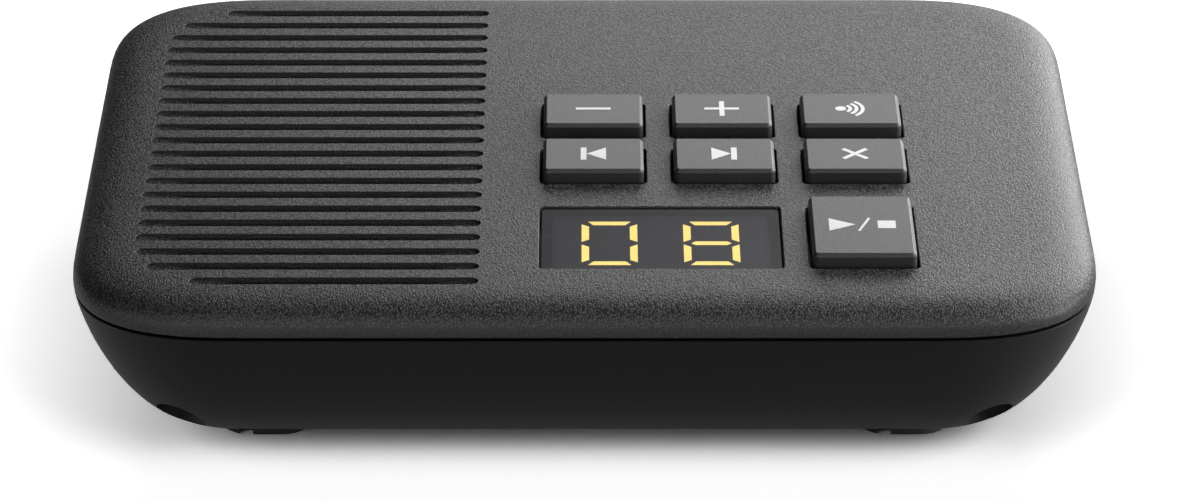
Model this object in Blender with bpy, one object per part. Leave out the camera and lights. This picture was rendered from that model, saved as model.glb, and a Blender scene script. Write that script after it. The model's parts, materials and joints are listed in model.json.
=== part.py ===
"""A desk answering machine: two moulded shells, seven push keys, a two-digit display,
a speaker behind a slotted grille, and the two boards and two sockets inside.

Lengths are in metres. X runs to the right, Y to the back and Z up. The origin lies on
the desk, under the middle of the body.
"""

import math

import bmesh
import bpy
from mathutils import Vector

# Clearances shared by many pieces
seat_gap = 0.0003
overrun = 0.001
weld_distance = 0.000001

# Body outline
corner_radius = 0.019
least_corner_radius = 0.001
corner_exponent = 2.8
corner_steps = 8

# Lower shell: a bowl that falls away from the split line to a flat underside
shell_wall = 0.002
floor_thickness = 0.0016
bowl_inset = 0.014
bowl_start_exponent = 1.28
bowl_turn_exponent = 2.13
bowl_levels = 9
inner_bowl_share = 0.9
inner_bowl_levels = 6

# Upper shell: a flat top with a soft shoulder, and a tongue inside the lower shell
cover_rise = 0.0032
cover_thickness = 0.002
shoulder_inset = 0.00646
shoulder_start_exponent = 3.34
shoulder_turn_exponent = 2.37
shoulder_levels = 6
tongue_depth = 0.0012
tongue_thickness = 0.0012
ceiling_round = 0.001

# Feet
foot_height = 0.0024
foot_width = 0.0095
foot_corner_radius = 0.003
foot_seat_depth = 0.0009
foot_edge_margin = 0.001
foot_edge_round = 0.0003
foot_notch_width = 0.0014
foot_notch_depth = 0.0012
foot_notch_offset = 0.002

# Main board and what decides the height of the lower shell
post_height = 0.0009
post_radius = 0.0025
board_thickness = 0.0012
board_corner_radius = 0.002
board_side_clearance = 0.0008
board_front_inset = 0.0125
board_screw_side_gap = 0.0006
board_rear_clearance = 0.001
post_inset = 0.004
line_jack_height = 0.0115
lid_clearance = 0.0016

# Case screws and their wells in the underside
well_side_inset = 0.0115
well_end_inset = 0.0083
well_radius = 0.0026
well_wall = 0.0024
well_height = 0.0083
well_ledge = 0.002
case_screw_head_radius = 0.0021
case_screw_head_height = 0.0018
case_screw_radius = 0.0014
case_screw_length = 0.007
screw_tip_clearance = 0.0006
cover_boss_wall = 0.0015

# Keys
key_width = 0.0108
key_depth = 0.0086
key_side_gap = 0.0003
key_front_gap = 0.0003
key_rise = 0.00145
key_corner_radius = 0.0006
key_edge_chamfer = 0.00033
key_travel = 0.0007
key_flange_overlap = 0.0007
key_flange_thickness = 0.0009
key_plunger_width = 0.003
key_plunger_length = 0.0012
column_pitch = 0.01405
row_pitch = 0.0121
key_right_margin = 0.01875
opening_corner_radius = 0.0005

# Display window and display
window_front_margin = 0.01015
window_row_gap = 0.0059
window_opening_depth = 0.0154
window_gap = 0.00035
window_recess = 0.0002
window_thickness = 0.0006
window_flange_overlap = 0.001
window_flange_thickness = 0.001
window_edge_round = 0.0002
display_margin = 0.0012
digit_width = 0.0061
digit_height = 0.0111
digit_pitch = 0.0107
digit_set_back = 0.00076
flat_bar_width = 0.00105
upright_bar_width = 0.0009
bar_outer_inset = 0.0007
bar_inner_inset = 0.00125
middle_outer_gap = 0.00035
middle_inner_gap = 0.00095
middle_bar_gap = 0.00005
segment_rise = 0.00015

# Key mat and key board
mat_thickness = 0.0008
mat_margin = 0.0014
dome_spare_height = 0.001
dome_base_radius = 0.0026
dome_top_radius = 0.0016
dome_wall = 0.0005
key_board_margin = 0.0018
key_board_jack_gap = 0.00455
board_screw_head_radius = 0.0019
board_screw_head_height = 0.0012
board_screw_radius = 0.0009
board_screw_length = 0.0032
board_boss_wall = 0.0008

# Grille
slot_pitch = 0.003577
slot_width = 0.0016
slot_margin = 0.0004
grille_width = 0.03609
grille_key_gap = 0.0062

# Speaker
speaker_side_clearance = 0.0005
cloth_thickness = 0.0003
cloth_margin = 0.0006
gasket_thickness = 0.0005
flange_thickness = 0.001
flange_width = 0.0026
surround_seat = 0.001
surround_roll_width = 0.0014
surround_roll_height = 0.00035
surround_thickness = 0.00025
basket_wall = 0.0008
basket_depth = 0.0048
yoke_seat_depth = 0.0013
cone_thickness = 0.0005
cone_depth = 0.0021
cone_travel = 0.0004
pole_radius = 0.0053
pole_plate_thickness = 0.0008
coil_gap = 0.0004
coil_thickness = 0.0006
coil_floor_gap = 0.0007
yoke_wall = 0.0012
yoke_height = 0.0039
dust_cap_rise = 0.0011
dust_cap_thickness = 0.0004
dust_cap_overlap = 0.0004
holder_gap = 0.0004
holder_wall = 0.0014
holder_hook_reach = 0.0008
holder_hook_height = 0.0009
holder_turn_share = 0.1
hook_turn_share = 0.04
terminal_width = 0.006
terminal_depth = 0.0018
terminal_thickness = 0.0008
lead_diameter = 0.001
lead_spread = 0.0022
lead_pad_offset = 0.0172
lead_pad_front_offset = 0.0079

# Sockets at the back, in a bay under the rear edge
bay_face_inset = 0.0099
bay_ceiling_wall = 0.0014
bay_side_margin = 0.005
line_jack_x = 0.002
line_jack_width = 0.0132
line_jack_depth = 0.0145
line_socket_width = 0.0098
line_socket_height = 0.0067
line_socket_depth = 0.0118
line_tab_width = 0.0062
line_tab_height = 0.0011
power_jack_x = 0.019
power_jack_width = 0.0092
power_jack_height = 0.009
power_jack_depth = 0.013
power_socket_width = 0.0066
power_socket_height = 0.0062
power_socket_depth = 0.0105
socket_floor = 0.0018
contact_thickness = 0.0004
contact_pitch = 0.0013
contact_bar_depth = 0.0014
contact_reach = 0.0075

# Link between the boards
link_pins = 6
link_pitch = 0.0015
link_pin_width = 0.0006
link_width = 0.0025
link_header_height = 0.0015
link_pin_entry = 0.002
link_column_offset = 0.00105
link_row_offset = 0.00125

# Parts on the main board
shield_side_offset = 0.015
shield_front_offset = 0.0179
shield_width = 0.022
shield_depth = 0.017
shield_height = 0.0026
shield_wall = 0.0004
processor_x = -0.0005
processor_front_offset = 0.0194
processor_width = 0.01
processor_height = 0.0012
memory_front_offset = 0.0079
memory_width = 0.008
memory_depth = 0.006
memory_height = 0.001
chip_edge_round = 0.0003
capacitor_jack_gap = 0.0046
capacitor_rear_gap = 0.0034
capacitor_pitch = 0.0085
capacitor_radius = 0.00315
capacitor_height = 0.0075
capacitor_groove_depth = 0.0003
capacitor_groove_height = 0.0009
antenna_inset = 0.0022
antenna_length = 0.015
antenna_height = 0.004
antenna_leg = 0.0015
antenna_thickness = 0.0005
antenna_width = 0.0012

# Label recess in the underside
label_width = 0.042
label_depth = 0.02
label_recess = 0.0003

# Counts for round pieces
small_steps = 12
large_steps = 32
post_steps = 10
fillet_steps = 2
arc_steps = 4
lead_points = 10
lead_bevel_resolution = 2

# Body size that follows from what lies side by side in it
opening_width = key_width + 2 * key_side_gap
opening_depth = key_depth + 2 * key_front_gap
window_opening_width = column_pitch + opening_width
body_width = (
    shoulder_inset + grille_width + grille_key_gap + 2 * column_pitch + opening_width + key_right_margin
)
body_depth = (
    window_front_margin + window_opening_depth + window_row_gap + opening_depth + row_pitch
    + key_board_margin + key_board_jack_gap + line_jack_depth + seat_gap + shell_wall + bay_face_inset
)

# Heights that follow from the sizes
base_z = foot_height
floor_z = base_z + floor_thickness
board_z = floor_z + post_height + seat_gap
board_top_z = board_z + board_thickness
part_z = board_top_z + seat_gap
ceiling_z = part_z + line_jack_height + lid_clearance
top_z = ceiling_z + cover_thickness
split_z = top_z - cover_rise
rim_z = split_z - seat_gap
lower_height = split_z - base_z

# Places that follow from the sizes
last_column_x = body_width / 2 - key_right_margin - opening_width / 2
first_column_x = last_column_x - 2 * column_pitch
grille_right_x = first_column_x - opening_width / 2 - grille_key_gap
window_x = first_column_x + column_pitch / 2
window_y = -body_depth / 2 + window_front_margin + window_opening_depth / 2
second_row_y = window_y + window_opening_depth / 2 + window_row_gap + opening_depth / 2
first_row_y = second_row_y + row_pitch
play_key_depth = window_opening_depth - 2 * key_front_gap
flat_half_width = body_width / 2 - shoulder_inset
flat_half_depth = body_depth / 2 - shoulder_inset
flat_corner_radius = corner_radius - shoulder_inset
well_x = body_width / 2 - well_side_inset
well_y = body_depth / 2 - well_end_inset
well_outer_radius = well_radius + well_wall
ledge_z = base_z + well_height
ledge_top_z = ledge_z + well_ledge
cover_boss_radius = case_screw_radius + seat_gap + cover_boss_wall
foot_x = body_width / 2 - bowl_inset - foot_edge_margin - foot_width / 2
foot_y = body_depth / 2 - bowl_inset - foot_edge_margin - foot_width / 2
bay_y = body_depth / 2 - bay_face_inset
bay_ceiling_z = split_z - tongue_depth - seat_gap - bay_ceiling_wall
bay_left_x = line_jack_x - line_jack_width / 2 - bay_side_margin
bay_right_x = power_jack_x + power_jack_width / 2 + bay_side_margin
jack_face_y = bay_y - shell_wall - seat_gap
board_half_width = well_x - well_outer_radius - board_side_clearance
board_front_y = -(body_depth / 2 - board_front_inset)
board_rear_y = bay_y - shell_wall - board_rear_clearance
post_x = board_half_width - post_inset
post_front_y = board_front_y + post_inset
post_rear_y = board_rear_y - post_inset
socket_floor_z = part_z + socket_floor
shield_x = board_half_width - shield_side_offset
shield_y = board_front_y + shield_front_offset
processor_y = board_front_y + processor_front_offset
memory_y = board_front_y + memory_front_offset
capacitor_x = line_jack_x - line_jack_width / 2 - capacitor_jack_gap - capacitor_radius
capacitor_y = board_rear_y - capacitor_rear_gap - capacitor_radius
antenna_y = post_rear_y - board_screw_head_radius - board_screw_side_gap - antenna_length / 2
link_x = first_column_x + link_column_offset
link_y = first_row_y + link_row_offset

# Key board levels, hung from the ceiling by the keys' own stack
key_flange_top_z = ceiling_z - seat_gap
key_flange_z = key_flange_top_z - key_flange_thickness
key_plunger_z = key_flange_z - key_plunger_length
dome_height = key_travel + dome_spare_height
mat_top_z = key_plunger_z - seat_gap - dome_height
mat_z = mat_top_z - mat_thickness
key_board_top_z = mat_z - seat_gap
key_board_z = key_board_top_z - board_thickness
board_boss_radius = board_screw_radius + seat_gap + board_boss_wall
boss_offset = (
    opening_width / 2 + max(key_flange_overlap, window_flange_overlap) + seat_gap + board_boss_radius
)
left_boss_x = first_column_x - boss_offset
right_boss_x = first_column_x + 2 * column_pitch + boss_offset
rear_boss_y = first_row_y + opening_depth / 2
front_boss_y = window_y + opening_depth / 2
link_socket_z = key_board_z - seat_gap - link_header_height - seat_gap
display_top_z = top_z - window_recess - window_thickness - seat_gap

# Speaker places and levels
grille_x = (grille_right_x - flat_half_width) / 2
speaker_radius = (grille_right_x + flat_half_width) / 2 - speaker_side_clearance
cloth_z = ceiling_z - seat_gap - cloth_thickness
gasket_z = cloth_z - seat_gap - gasket_thickness
flange_top_z = gasket_z - seat_gap
flange_z = flange_top_z - flange_thickness
mouth_radius = speaker_radius - flange_width
cone_edge_radius = mouth_radius - surround_roll_width
cone_lip_radius = cone_edge_radius - surround_seat
coil_inner_radius = pole_radius + coil_gap
coil_outer_radius = coil_inner_radius + coil_thickness
yoke_inner_radius = coil_outer_radius + coil_gap
yoke_radius = yoke_inner_radius + yoke_wall
yoke_top_z = flange_top_z - basket_depth
yoke_z = yoke_top_z - yoke_height
cone_neck_z = flange_top_z - cone_depth - cone_thickness
holder_inner_radius = speaker_radius + holder_gap
holder_outer_radius = holder_inner_radius + holder_wall
hook_top_z = flange_z - seat_gap
hook_z = hook_top_z - holder_hook_height
terminal_turn = -math.pi / 3
holder_turns = (0, 2 * math.pi / 3, 4 * math.pi / 3)

key_places = {
    "volume_down_key": (first_column_x, first_row_y, key_depth),
    "volume_up_key": (first_column_x + column_pitch, first_row_y, key_depth),
    "paging_key": (first_column_x + 2 * column_pitch, first_row_y, key_depth),
    "previous_key": (first_column_x, second_row_y, key_depth),
    "next_key": (first_column_x + column_pitch, second_row_y, key_depth),
    "delete_key": (first_column_x + 2 * column_pitch, second_row_y, key_depth),
    "play_stop_key": (first_column_x + 2 * column_pitch, window_y, play_key_depth),
}


# Outlines

def rounded_outline(half_x, half_y, radius, exponent=2.0, steps=fillet_steps, centre=(0, 0)):
    """Anticlockwise points of a rectangle whose corners are superellipse arcs."""
    arc = []
    for step in range(steps + 1):
        turn = math.pi / 2 * step / steps
        across = radius * math.cos(turn) ** (2 / exponent)
        along = radius * math.sin(turn) ** (2 / exponent)
        arc.append((half_x - radius + across, half_y - radius + along))
    points = arc
    points = points + [(-x, y) for x, y in reversed(arc)]
    points = points + [(-x, -y) for x, y in arc]
    points = points + [(x, -y) for x, y in reversed(arc)]
    return [(centre[0] + x, centre[1] + y) for x, y in points]


def rectangle(half_x, half_y, centre=(0, 0)):
    x, y = centre
    return [
        (x + half_x, y - half_y),
        (x + half_x, y + half_y),
        (x - half_x, y + half_y),
        (x - half_x, y - half_y),
    ]


def circle(radius, steps, centre=(0, 0)):
    points = []
    for step in range(steps):
        turn = 2 * math.pi * step / steps
        points.append((centre[0] + radius * math.cos(turn), centre[1] + radius * math.sin(turn)))
    return points


def slot_outline(left, right, y, width):
    """A slot along X with round ends."""
    radius = width / 2
    points = []
    for step in range(arc_steps + 1):
        turn = math.pi * step / arc_steps - math.pi / 2
        points.append((right - radius + radius * math.cos(turn), y + radius * math.sin(turn)))
    for step in range(arc_steps + 1):
        turn = math.pi * step / arc_steps + math.pi / 2
        points.append((left + radius + radius * math.cos(turn), y + radius * math.sin(turn)))
    return points


def arc_band(inner, outer, middle_turn, half_turn, centre):
    """The outline of a curved wall between two radii."""
    points = []
    for step in range(arc_steps + 1):
        turn = middle_turn - half_turn + 2 * half_turn * step / arc_steps
        points.append((centre[0] + outer * math.cos(turn), centre[1] + outer * math.sin(turn)))
    for step in range(arc_steps + 1):
        turn = middle_turn + half_turn - 2 * half_turn * step / arc_steps
        points.append((centre[0] + inner * math.cos(turn), centre[1] + inner * math.sin(turn)))
    return points


def bowl_fall(share):
    """The share of the bowl's inset that is used up, this share of the way down."""
    left = max(0.0, 1 - share ** bowl_start_exponent)
    return 1 - left ** (1 / bowl_turn_exponent)


def bowl_inset_at(z):
    return bowl_inset * bowl_fall((split_z - z) / lower_height)


def shoulder_fall(share):
    left = max(0.0, 1 - share ** shoulder_start_exponent)
    return 1 - left ** (1 / shoulder_turn_exponent)


def body_ring(inset, z):
    """The body's outline drawn in by inset, at height z."""
    radius = max(corner_radius - inset, least_corner_radius)
    outline = rounded_outline(
        body_width / 2 - inset, body_depth / 2 - inset, radius, corner_exponent, corner_steps
    )
    return [(x, y, z) for x, y in outline]


def at_height(outline, z):
    return [(x, y, z) for x, y in outline]


def eased(levels):
    """Shares from 0 to 1 that crowd together towards 1."""
    return [math.sin(math.pi / 2 * level / levels) for level in range(levels + 1)]


# Mesh building

def add_loft(bm, rings):
    """A closed solid through rings that all have as many points."""
    loops = [[bm.verts.new(point) for point in ring] for ring in rings]
    for low, high in zip(loops, loops[1:]):
        for index in range(len(low)):
            after = (index + 1) % len(low)
            bm.faces.new((low[index], low[after], high[after], high[index]))
    bm.faces.new(list(reversed(loops[0])))
    bm.faces.new(loops[-1])


def add_prism(bm, outline, low, high):
    """An outline extruded from one height to another."""
    base = bm.faces.new([bm.verts.new((x, y, low)) for x, y in outline])
    made = bmesh.ops.extrude_face_region(bm, geom=[base])
    verts = [item for item in made["geom"] if isinstance(item, bmesh.types.BMVert)]
    bmesh.ops.translate(bm, verts=verts, vec=(0, 0, high - low))


def add_cylinder(bm, radius, low, high, centre, steps=small_steps):
    add_prism(bm, circle(radius, steps, centre), low, high)


def turned(profile, steps, closed):
    """A profile of (radius, z) points spun about Z."""
    bm = bmesh.new()
    verts = [bm.verts.new((radius, 0, z)) for radius, z in profile]
    pairs = list(zip(verts, verts[1:]))
    if closed:
        pairs.append((verts[-1], verts[0]))
    edges = [bm.edges.new(pair) for pair in pairs]
    bmesh.ops.spin(
        bm, geom=verts + edges, cent=(0, 0, 0), axis=(0, 0, 1), angle=2 * math.pi, steps=steps
    )
    bmesh.ops.remove_doubles(bm, verts=bm.verts, dist=weld_distance)
    bmesh.ops.dissolve_degenerate(bm, edges=bm.edges, dist=weld_distance)
    return bm


def finish_mesh(name, bm):
    bmesh.ops.recalc_face_normals(bm, faces=bm.faces)
    mesh = bpy.data.meshes.new(name)
    bm.to_mesh(mesh)
    bm.free()
    return mesh


def place(name, bm, look, location=(0, 0, 0), parent=None, rotation=(0, 0, 0), smooth=False):
    """Puts a mesh in the scene as one named piece."""
    mesh = finish_mesh(name, bm)
    mesh.materials.append(look)
    obj = bpy.data.objects.new(name, mesh)
    bpy.context.scene.collection.objects.link(obj)
    obj.location = location
    obj.rotation_euler = rotation
    obj.parent = parent
    if smooth:
        mesh.shade_smooth()
        mesh.set_sharp_from_angle(angle=math.radians(40))
    return obj


def tool(name, bm, location=(0, 0, 0), rotation=(0, 0, 0)):
    """A shape that cuts or joins others and isn't a piece itself."""
    obj = bpy.data.objects.new(name, finish_mesh(name, bm))
    bpy.context.scene.collection.objects.link(obj)
    obj.location = location
    obj.rotation_euler = rotation
    obj.hide_render = True
    obj.display_type = "WIRE"
    return obj


def combine(obj, other, operation):
    modifier = obj.modifiers.new(other.name, "BOOLEAN")
    modifier.operation = operation
    modifier.solver = "EXACT"
    modifier.object = other


def cut(obj, other):
    combine(obj, other, "DIFFERENCE")


def join(obj, other):
    combine(obj, other, "UNION")


def empty(name, location=(0, 0, 0), parent=None):
    obj = bpy.data.objects.new(name, None)
    bpy.context.scene.collection.objects.link(obj)
    obj.location = location
    obj.parent = parent
    return obj


# Materials

def make_look(name, colour, roughness, metallic=0.0):
    look = bpy.data.materials.new(name)
    look.use_nodes = True
    shader = look.node_tree.nodes["Principled BSDF"]
    shader.inputs["Base Color"].default_value = (*colour, 1.0)
    shader.inputs["Roughness"].default_value = roughness
    shader.inputs["Metallic"].default_value = metallic
    look.diffuse_color = (*colour, 1.0)
    return look


def make_looks():
    return {
        "cover_plastic": make_look("cover_plastic", (0.036, 0.0365, 0.0375), 0.5),
        "case_plastic": make_look("case_plastic", (0.0185, 0.0193, 0.0203), 0.4),
        "key_plastic": make_look("key_plastic", (0.05, 0.051, 0.053), 0.42),
        "window_plastic": make_look("window_plastic", (0.03, 0.03, 0.032), 0.15),
        "display_plastic": make_look("display_plastic", (0.02, 0.02, 0.02), 0.6),
        "rubber": make_look("rubber", (0.03, 0.03, 0.031), 0.85),
        "silicone": make_look("silicone", (0.55, 0.55, 0.53), 0.6),
        "board": make_look("board", (0.03, 0.16, 0.07), 0.45),
        "socket_plastic": make_look("socket_plastic", (0.04, 0.04, 0.042), 0.4),
        "contact_metal": make_look("contact_metal", (0.8, 0.6, 0.3), 0.25, 1.0),
        "shield_metal": make_look("shield_metal", (0.62, 0.63, 0.64), 0.35, 1.0),
        "steel": make_look("steel", (0.45, 0.45, 0.46), 0.35, 1.0),
        "magnet": make_look("magnet", (0.35, 0.36, 0.38), 0.3, 1.0),
        "copper": make_look("copper", (0.75, 0.36, 0.2), 0.35, 1.0),
        "chip_plastic": make_look("chip_plastic", (0.02, 0.02, 0.022), 0.5),
        "cone_paper": make_look("cone_paper", (0.03, 0.03, 0.03), 0.9),
        "cloth": make_look("cloth", (0.012, 0.012, 0.012), 0.95),
        "foam": make_look("foam", (0.04, 0.04, 0.04), 0.95),
        "red_lead": make_look("red_lead", (0.55, 0.03, 0.02), 0.5),
        "black_lead": make_look("black_lead", (0.02, 0.02, 0.02), 0.5),
        "capacitor_sleeve": make_look("capacitor_sleeve", (0.03, 0.04, 0.1), 0.4),
    }


# Upper shell

def flat_edge_x(y):
    """How far the flat top reaches along X at this distance from the middle."""
    along = abs(y) - (flat_half_depth - flat_corner_radius)
    if along <= 0:
        return flat_half_width
    left = max(0.0, 1 - (along / flat_corner_radius) ** corner_exponent)
    return flat_half_width - flat_corner_radius + flat_corner_radius * left ** (1 / corner_exponent)


def slot_rows():
    """(left end, y) of every grille slot."""
    side = math.floor((flat_half_depth - slot_margin) / slot_pitch)
    return [(-flat_edge_x(row * slot_pitch), row * slot_pitch) for row in range(-side, side + 1)]


def cover_outer_rings():
    tongue_z = split_z - tongue_depth
    tongue_inset = tongue_outer_inset()
    rings = [body_ring(tongue_inset, tongue_z), body_ring(tongue_inset, split_z)]
    for share in eased(shoulder_levels):
        rings.append(body_ring(shoulder_inset * shoulder_fall(share), split_z + cover_rise * share))
    return rings


def tongue_outer_inset():
    return shell_wall + seat_gap + bowl_inset_at(split_z - tongue_depth)


def cover_cavity():
    bm = bmesh.new()
    inset = tongue_outer_inset() + tongue_thickness
    add_loft(
        bm,
        [
            body_ring(inset, split_z - tongue_depth - overrun),
            body_ring(inset, ceiling_z - ceiling_round),
            body_ring(inset + ceiling_round, ceiling_z),
        ],
    )
    return tool("cover_cavity", bm)


def cover_bosses():
    """Screw bosses and speaker holders that hang from the ceiling."""
    bm = bmesh.new()
    top = ceiling_z + cover_thickness / 2
    for x in (-well_x, well_x):
        for y in (-well_y, well_y):
            add_cylinder(bm, cover_boss_radius, ledge_top_z + seat_gap, top, (x, y))
    for x, y in board_boss_places():
        add_cylinder(bm, board_boss_radius, key_board_top_z + seat_gap, top, (x, y), post_steps)
    for turn in holder_turns:
        outline = arc_band(
            holder_inner_radius, holder_outer_radius, turn, math.pi * holder_turn_share, (grille_x, 0)
        )
        add_prism(bm, outline, hook_z, top)
    return tool("cover_bosses", bm)


def holder_hooks():
    bm = bmesh.new()
    for turn in holder_turns:
        outline = arc_band(
            speaker_radius - holder_hook_reach,
            holder_inner_radius + holder_wall / 2,
            turn,
            math.pi * hook_turn_share,
            (grille_x, 0),
        )
        add_prism(bm, outline, hook_z, hook_top_z)
    return tool("holder_hooks", bm)


def board_boss_places():
    return [(x, y) for x in (left_boss_x, right_boss_x) for y in (rear_boss_y, front_boss_y)]


def cover_openings():
    """Everything that goes through the top: grille slots, key openings and the window."""
    bm = bmesh.new()
    low = ceiling_z - seat_gap
    high = top_z + overrun
    for left, y in slot_rows():
        add_prism(bm, slot_outline(left, grille_right_x, y, slot_width), low, high)
    for x, y, depth in key_places.values():
        outline = rounded_outline(
            opening_width / 2, depth / 2 + key_front_gap, opening_corner_radius, centre=(x, y)
        )
        add_prism(bm, outline, low, high)
    outline = rounded_outline(
        window_opening_width / 2,
        window_opening_depth / 2,
        opening_corner_radius,
        centre=(window_x, window_y),
    )
    add_prism(bm, outline, low, high)
    return tool("cover_openings", bm)


def cover_screw_holes():
    bm = bmesh.new()
    low = ledge_top_z - overrun
    high = ledge_z - seat_gap + case_screw_length + screw_tip_clearance
    for x in (-well_x, well_x):
        for y in (-well_y, well_y):
            add_cylinder(bm, case_screw_radius + seat_gap, low, high, (x, y), post_steps)
    low = key_board_top_z - overrun
    high = key_board_z - seat_gap + board_screw_length + screw_tip_clearance
    for x, y in board_boss_places():
        add_cylinder(bm, board_screw_radius + seat_gap, low, high, (x, y), post_steps)
    return tool("cover_screw_holes", bm)


def build_top_cover(looks, parent):
    bm = bmesh.new()
    add_loft(bm, cover_outer_rings())
    cover = place("top_cover", bm, looks["cover_plastic"], parent=parent, smooth=True)
    cut(cover, cover_cavity())
    join(cover, cover_bosses())
    join(cover, holder_hooks())
    cut(cover, cover_openings())
    cut(cover, cover_screw_holes())


# Lower shell

def case_outer_rings():
    rings = [body_ring(bowl_inset_at(rim_z), rim_z)]
    for share in eased(bowl_levels)[1:]:
        z = rim_z - (rim_z - base_z) * share
        rings.append(body_ring(bowl_inset_at(z), z))
    return list(reversed(rings))


def case_cavity():
    """The room inside, with the walls of the bay, the wells and the board posts left standing."""
    bm = bmesh.new()
    reach = split_z - floor_z
    rings = [body_ring(shell_wall, split_z + overrun)]
    for share in eased(inner_bowl_levels):
        inset = shell_wall + bowl_inset * inner_bowl_share * bowl_fall(share)
        rings.append(body_ring(inset, split_z - reach * share))
    add_loft(bm, list(reversed(rings)))
    cavity = tool("case_cavity", bm)
    cut(cavity, kept_walls())
    return cavity


def kept_walls():
    bm = bmesh.new()
    bay_x = (bay_left_x + bay_right_x) / 2
    half_x = (bay_right_x - bay_left_x) / 2 + shell_wall
    half_y = (body_depth / 2 + overrun - (bay_y - shell_wall)) / 2
    centre = (bay_x, bay_y - shell_wall + half_y)
    add_prism(bm, rectangle(half_x, half_y, centre), base_z - overrun, bay_ceiling_z + bay_ceiling_wall)
    for x in (-well_x, well_x):
        for y in (-well_y, well_y):
            add_cylinder(bm, well_outer_radius, base_z - overrun, ledge_top_z, (x, y))
    for x, y in post_places():
        add_cylinder(bm, post_radius, base_z - overrun, floor_z + post_height, (x, y), post_steps)
    return tool("kept_walls", bm)


def post_places():
    return [(x, y) for x in (-post_x, post_x) for y in (post_front_y, post_rear_y)]


def case_wells():
    bm = bmesh.new()
    for x in (-well_x, well_x):
        for y in (-well_y, well_y):
            add_cylinder(bm, well_radius, base_z - overrun, ledge_z, (x, y))
    return tool("case_wells", bm)


def case_holes():
    """Screw holes, the seats of the feet, the label recess and the socket openings."""
    bm = bmesh.new()
    for x in (-well_x, well_x):
        for y in (-well_y, well_y):
            low = ledge_z - overrun
            high = ledge_top_z + overrun
            add_cylinder(bm, case_screw_radius + seat_gap, low, high, (x, y), post_steps)
    for x, y in post_places():
        low = board_top_z + seat_gap - board_screw_length - screw_tip_clearance
        high = floor_z + post_height + overrun
        add_cylinder(bm, board_screw_radius + seat_gap, low, high, (x, y), post_steps)
    for x in (-foot_x, foot_x):
        for y in (-foot_y, foot_y):
            half = foot_width / 2 + seat_gap
            outline = rounded_outline(half, half, foot_corner_radius, centre=(x, y))
            add_prism(bm, outline, base_z - overrun, base_z + foot_seat_depth)
    outline = rectangle(label_width / 2, label_depth / 2)
    add_prism(bm, outline, base_z - overrun, base_z + label_recess)
    return tool("case_holes", bm)


def bay_cut():
    bm = bmesh.new()
    half_x = (bay_right_x - bay_left_x) / 2
    half_y = (body_depth / 2 + overrun - bay_y) / 2
    centre = ((bay_left_x + bay_right_x) / 2, bay_y + half_y)
    add_prism(bm, rectangle(half_x, half_y, centre), base_z - overrun, bay_ceiling_z)
    return tool("bay_cut", bm)


def socket_cuts():
    """The openings in the bay's wall, in front of the two sockets."""
    bm = bmesh.new()
    for x, width, height in socket_mouths():
        centre = (x, bay_y - shell_wall / 2)
        outline = rectangle(width / 2 + seat_gap, shell_wall / 2 + overrun, centre)
        low = socket_floor_z - line_tab_height - seat_gap
        add_prism(bm, outline, low, socket_floor_z + height + seat_gap)
    return tool("socket_cuts", bm)


def socket_mouths():
    return [
        (line_jack_x, line_socket_width, line_socket_height),
        (power_jack_x, power_socket_width, power_socket_height),
    ]


def build_bottom_case(looks, parent):
    bm = bmesh.new()
    add_loft(bm, case_outer_rings())
    case = place("bottom_case", bm, looks["case_plastic"], parent=parent, smooth=True)
    cut(case, case_cavity())
    cut(case, case_wells())
    cut(case, case_holes())
    cut(case, bay_cut())
    cut(case, socket_cuts())


# Feet and screws

def foot_mesh():
    bm = bmesh.new()
    half = foot_width / 2
    height = foot_height + foot_seat_depth - seat_gap
    drawn = half - foot_edge_round
    rings = [
        at_height(rounded_outline(drawn, drawn, foot_corner_radius - foot_edge_round), 0),
        at_height(rounded_outline(half, half, foot_corner_radius), foot_edge_round),
        at_height(rounded_outline(half, half, foot_corner_radius), height),
    ]
    add_loft(bm, rings)
    return bm


def foot_notch(name, x, y):
    bm = bmesh.new()
    centre = (-foot_notch_offset, -foot_width / 2)
    outline = rectangle(foot_notch_width / 2, foot_notch_depth, centre)
    add_prism(bm, outline, -overrun, foot_height)
    return tool(name + "_notch", bm, location=(x, y, 0))


def build_feet(looks, parent):
    for end, y in (("front", -foot_y), ("rear", foot_y)):
        for side, x in (("left", -foot_x), ("right", foot_x)):
            name = end + "_" + side + "_foot"
            foot = place(name, foot_mesh(), looks["rubber"], location=(x, y, 0), parent=parent)
            cut(foot, foot_notch(name, x, y))


def screw_mesh(head_radius, head_height, radius, length):
    """A screw that stands on its head, with its shank up."""
    edge = head_height / 3
    profile = [
        (0, 0),
        (head_radius - edge, 0),
        (head_radius, edge),
        (head_radius, head_height),
        (radius, head_height),
        (radius, head_height + length - radius),
        (0, head_height + length),
    ]
    return turned(profile, small_steps, closed=False)


def build_case_screws(looks, parent):
    z = ledge_z - seat_gap - case_screw_head_height
    for end, y in (("front", -well_y), ("rear", well_y)):
        for side, x in (("left", -well_x), ("right", well_x)):
            bm = screw_mesh(
                case_screw_head_radius, case_screw_head_height, case_screw_radius, case_screw_length
            )
            name = end + "_" + side + "_case_screw"
            place(name, bm, looks["steel"], location=(x, y, z), parent=parent, smooth=True)


def board_screw_mesh():
    return screw_mesh(
        board_screw_head_radius, board_screw_head_height, board_screw_radius, board_screw_length
    )


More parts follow.
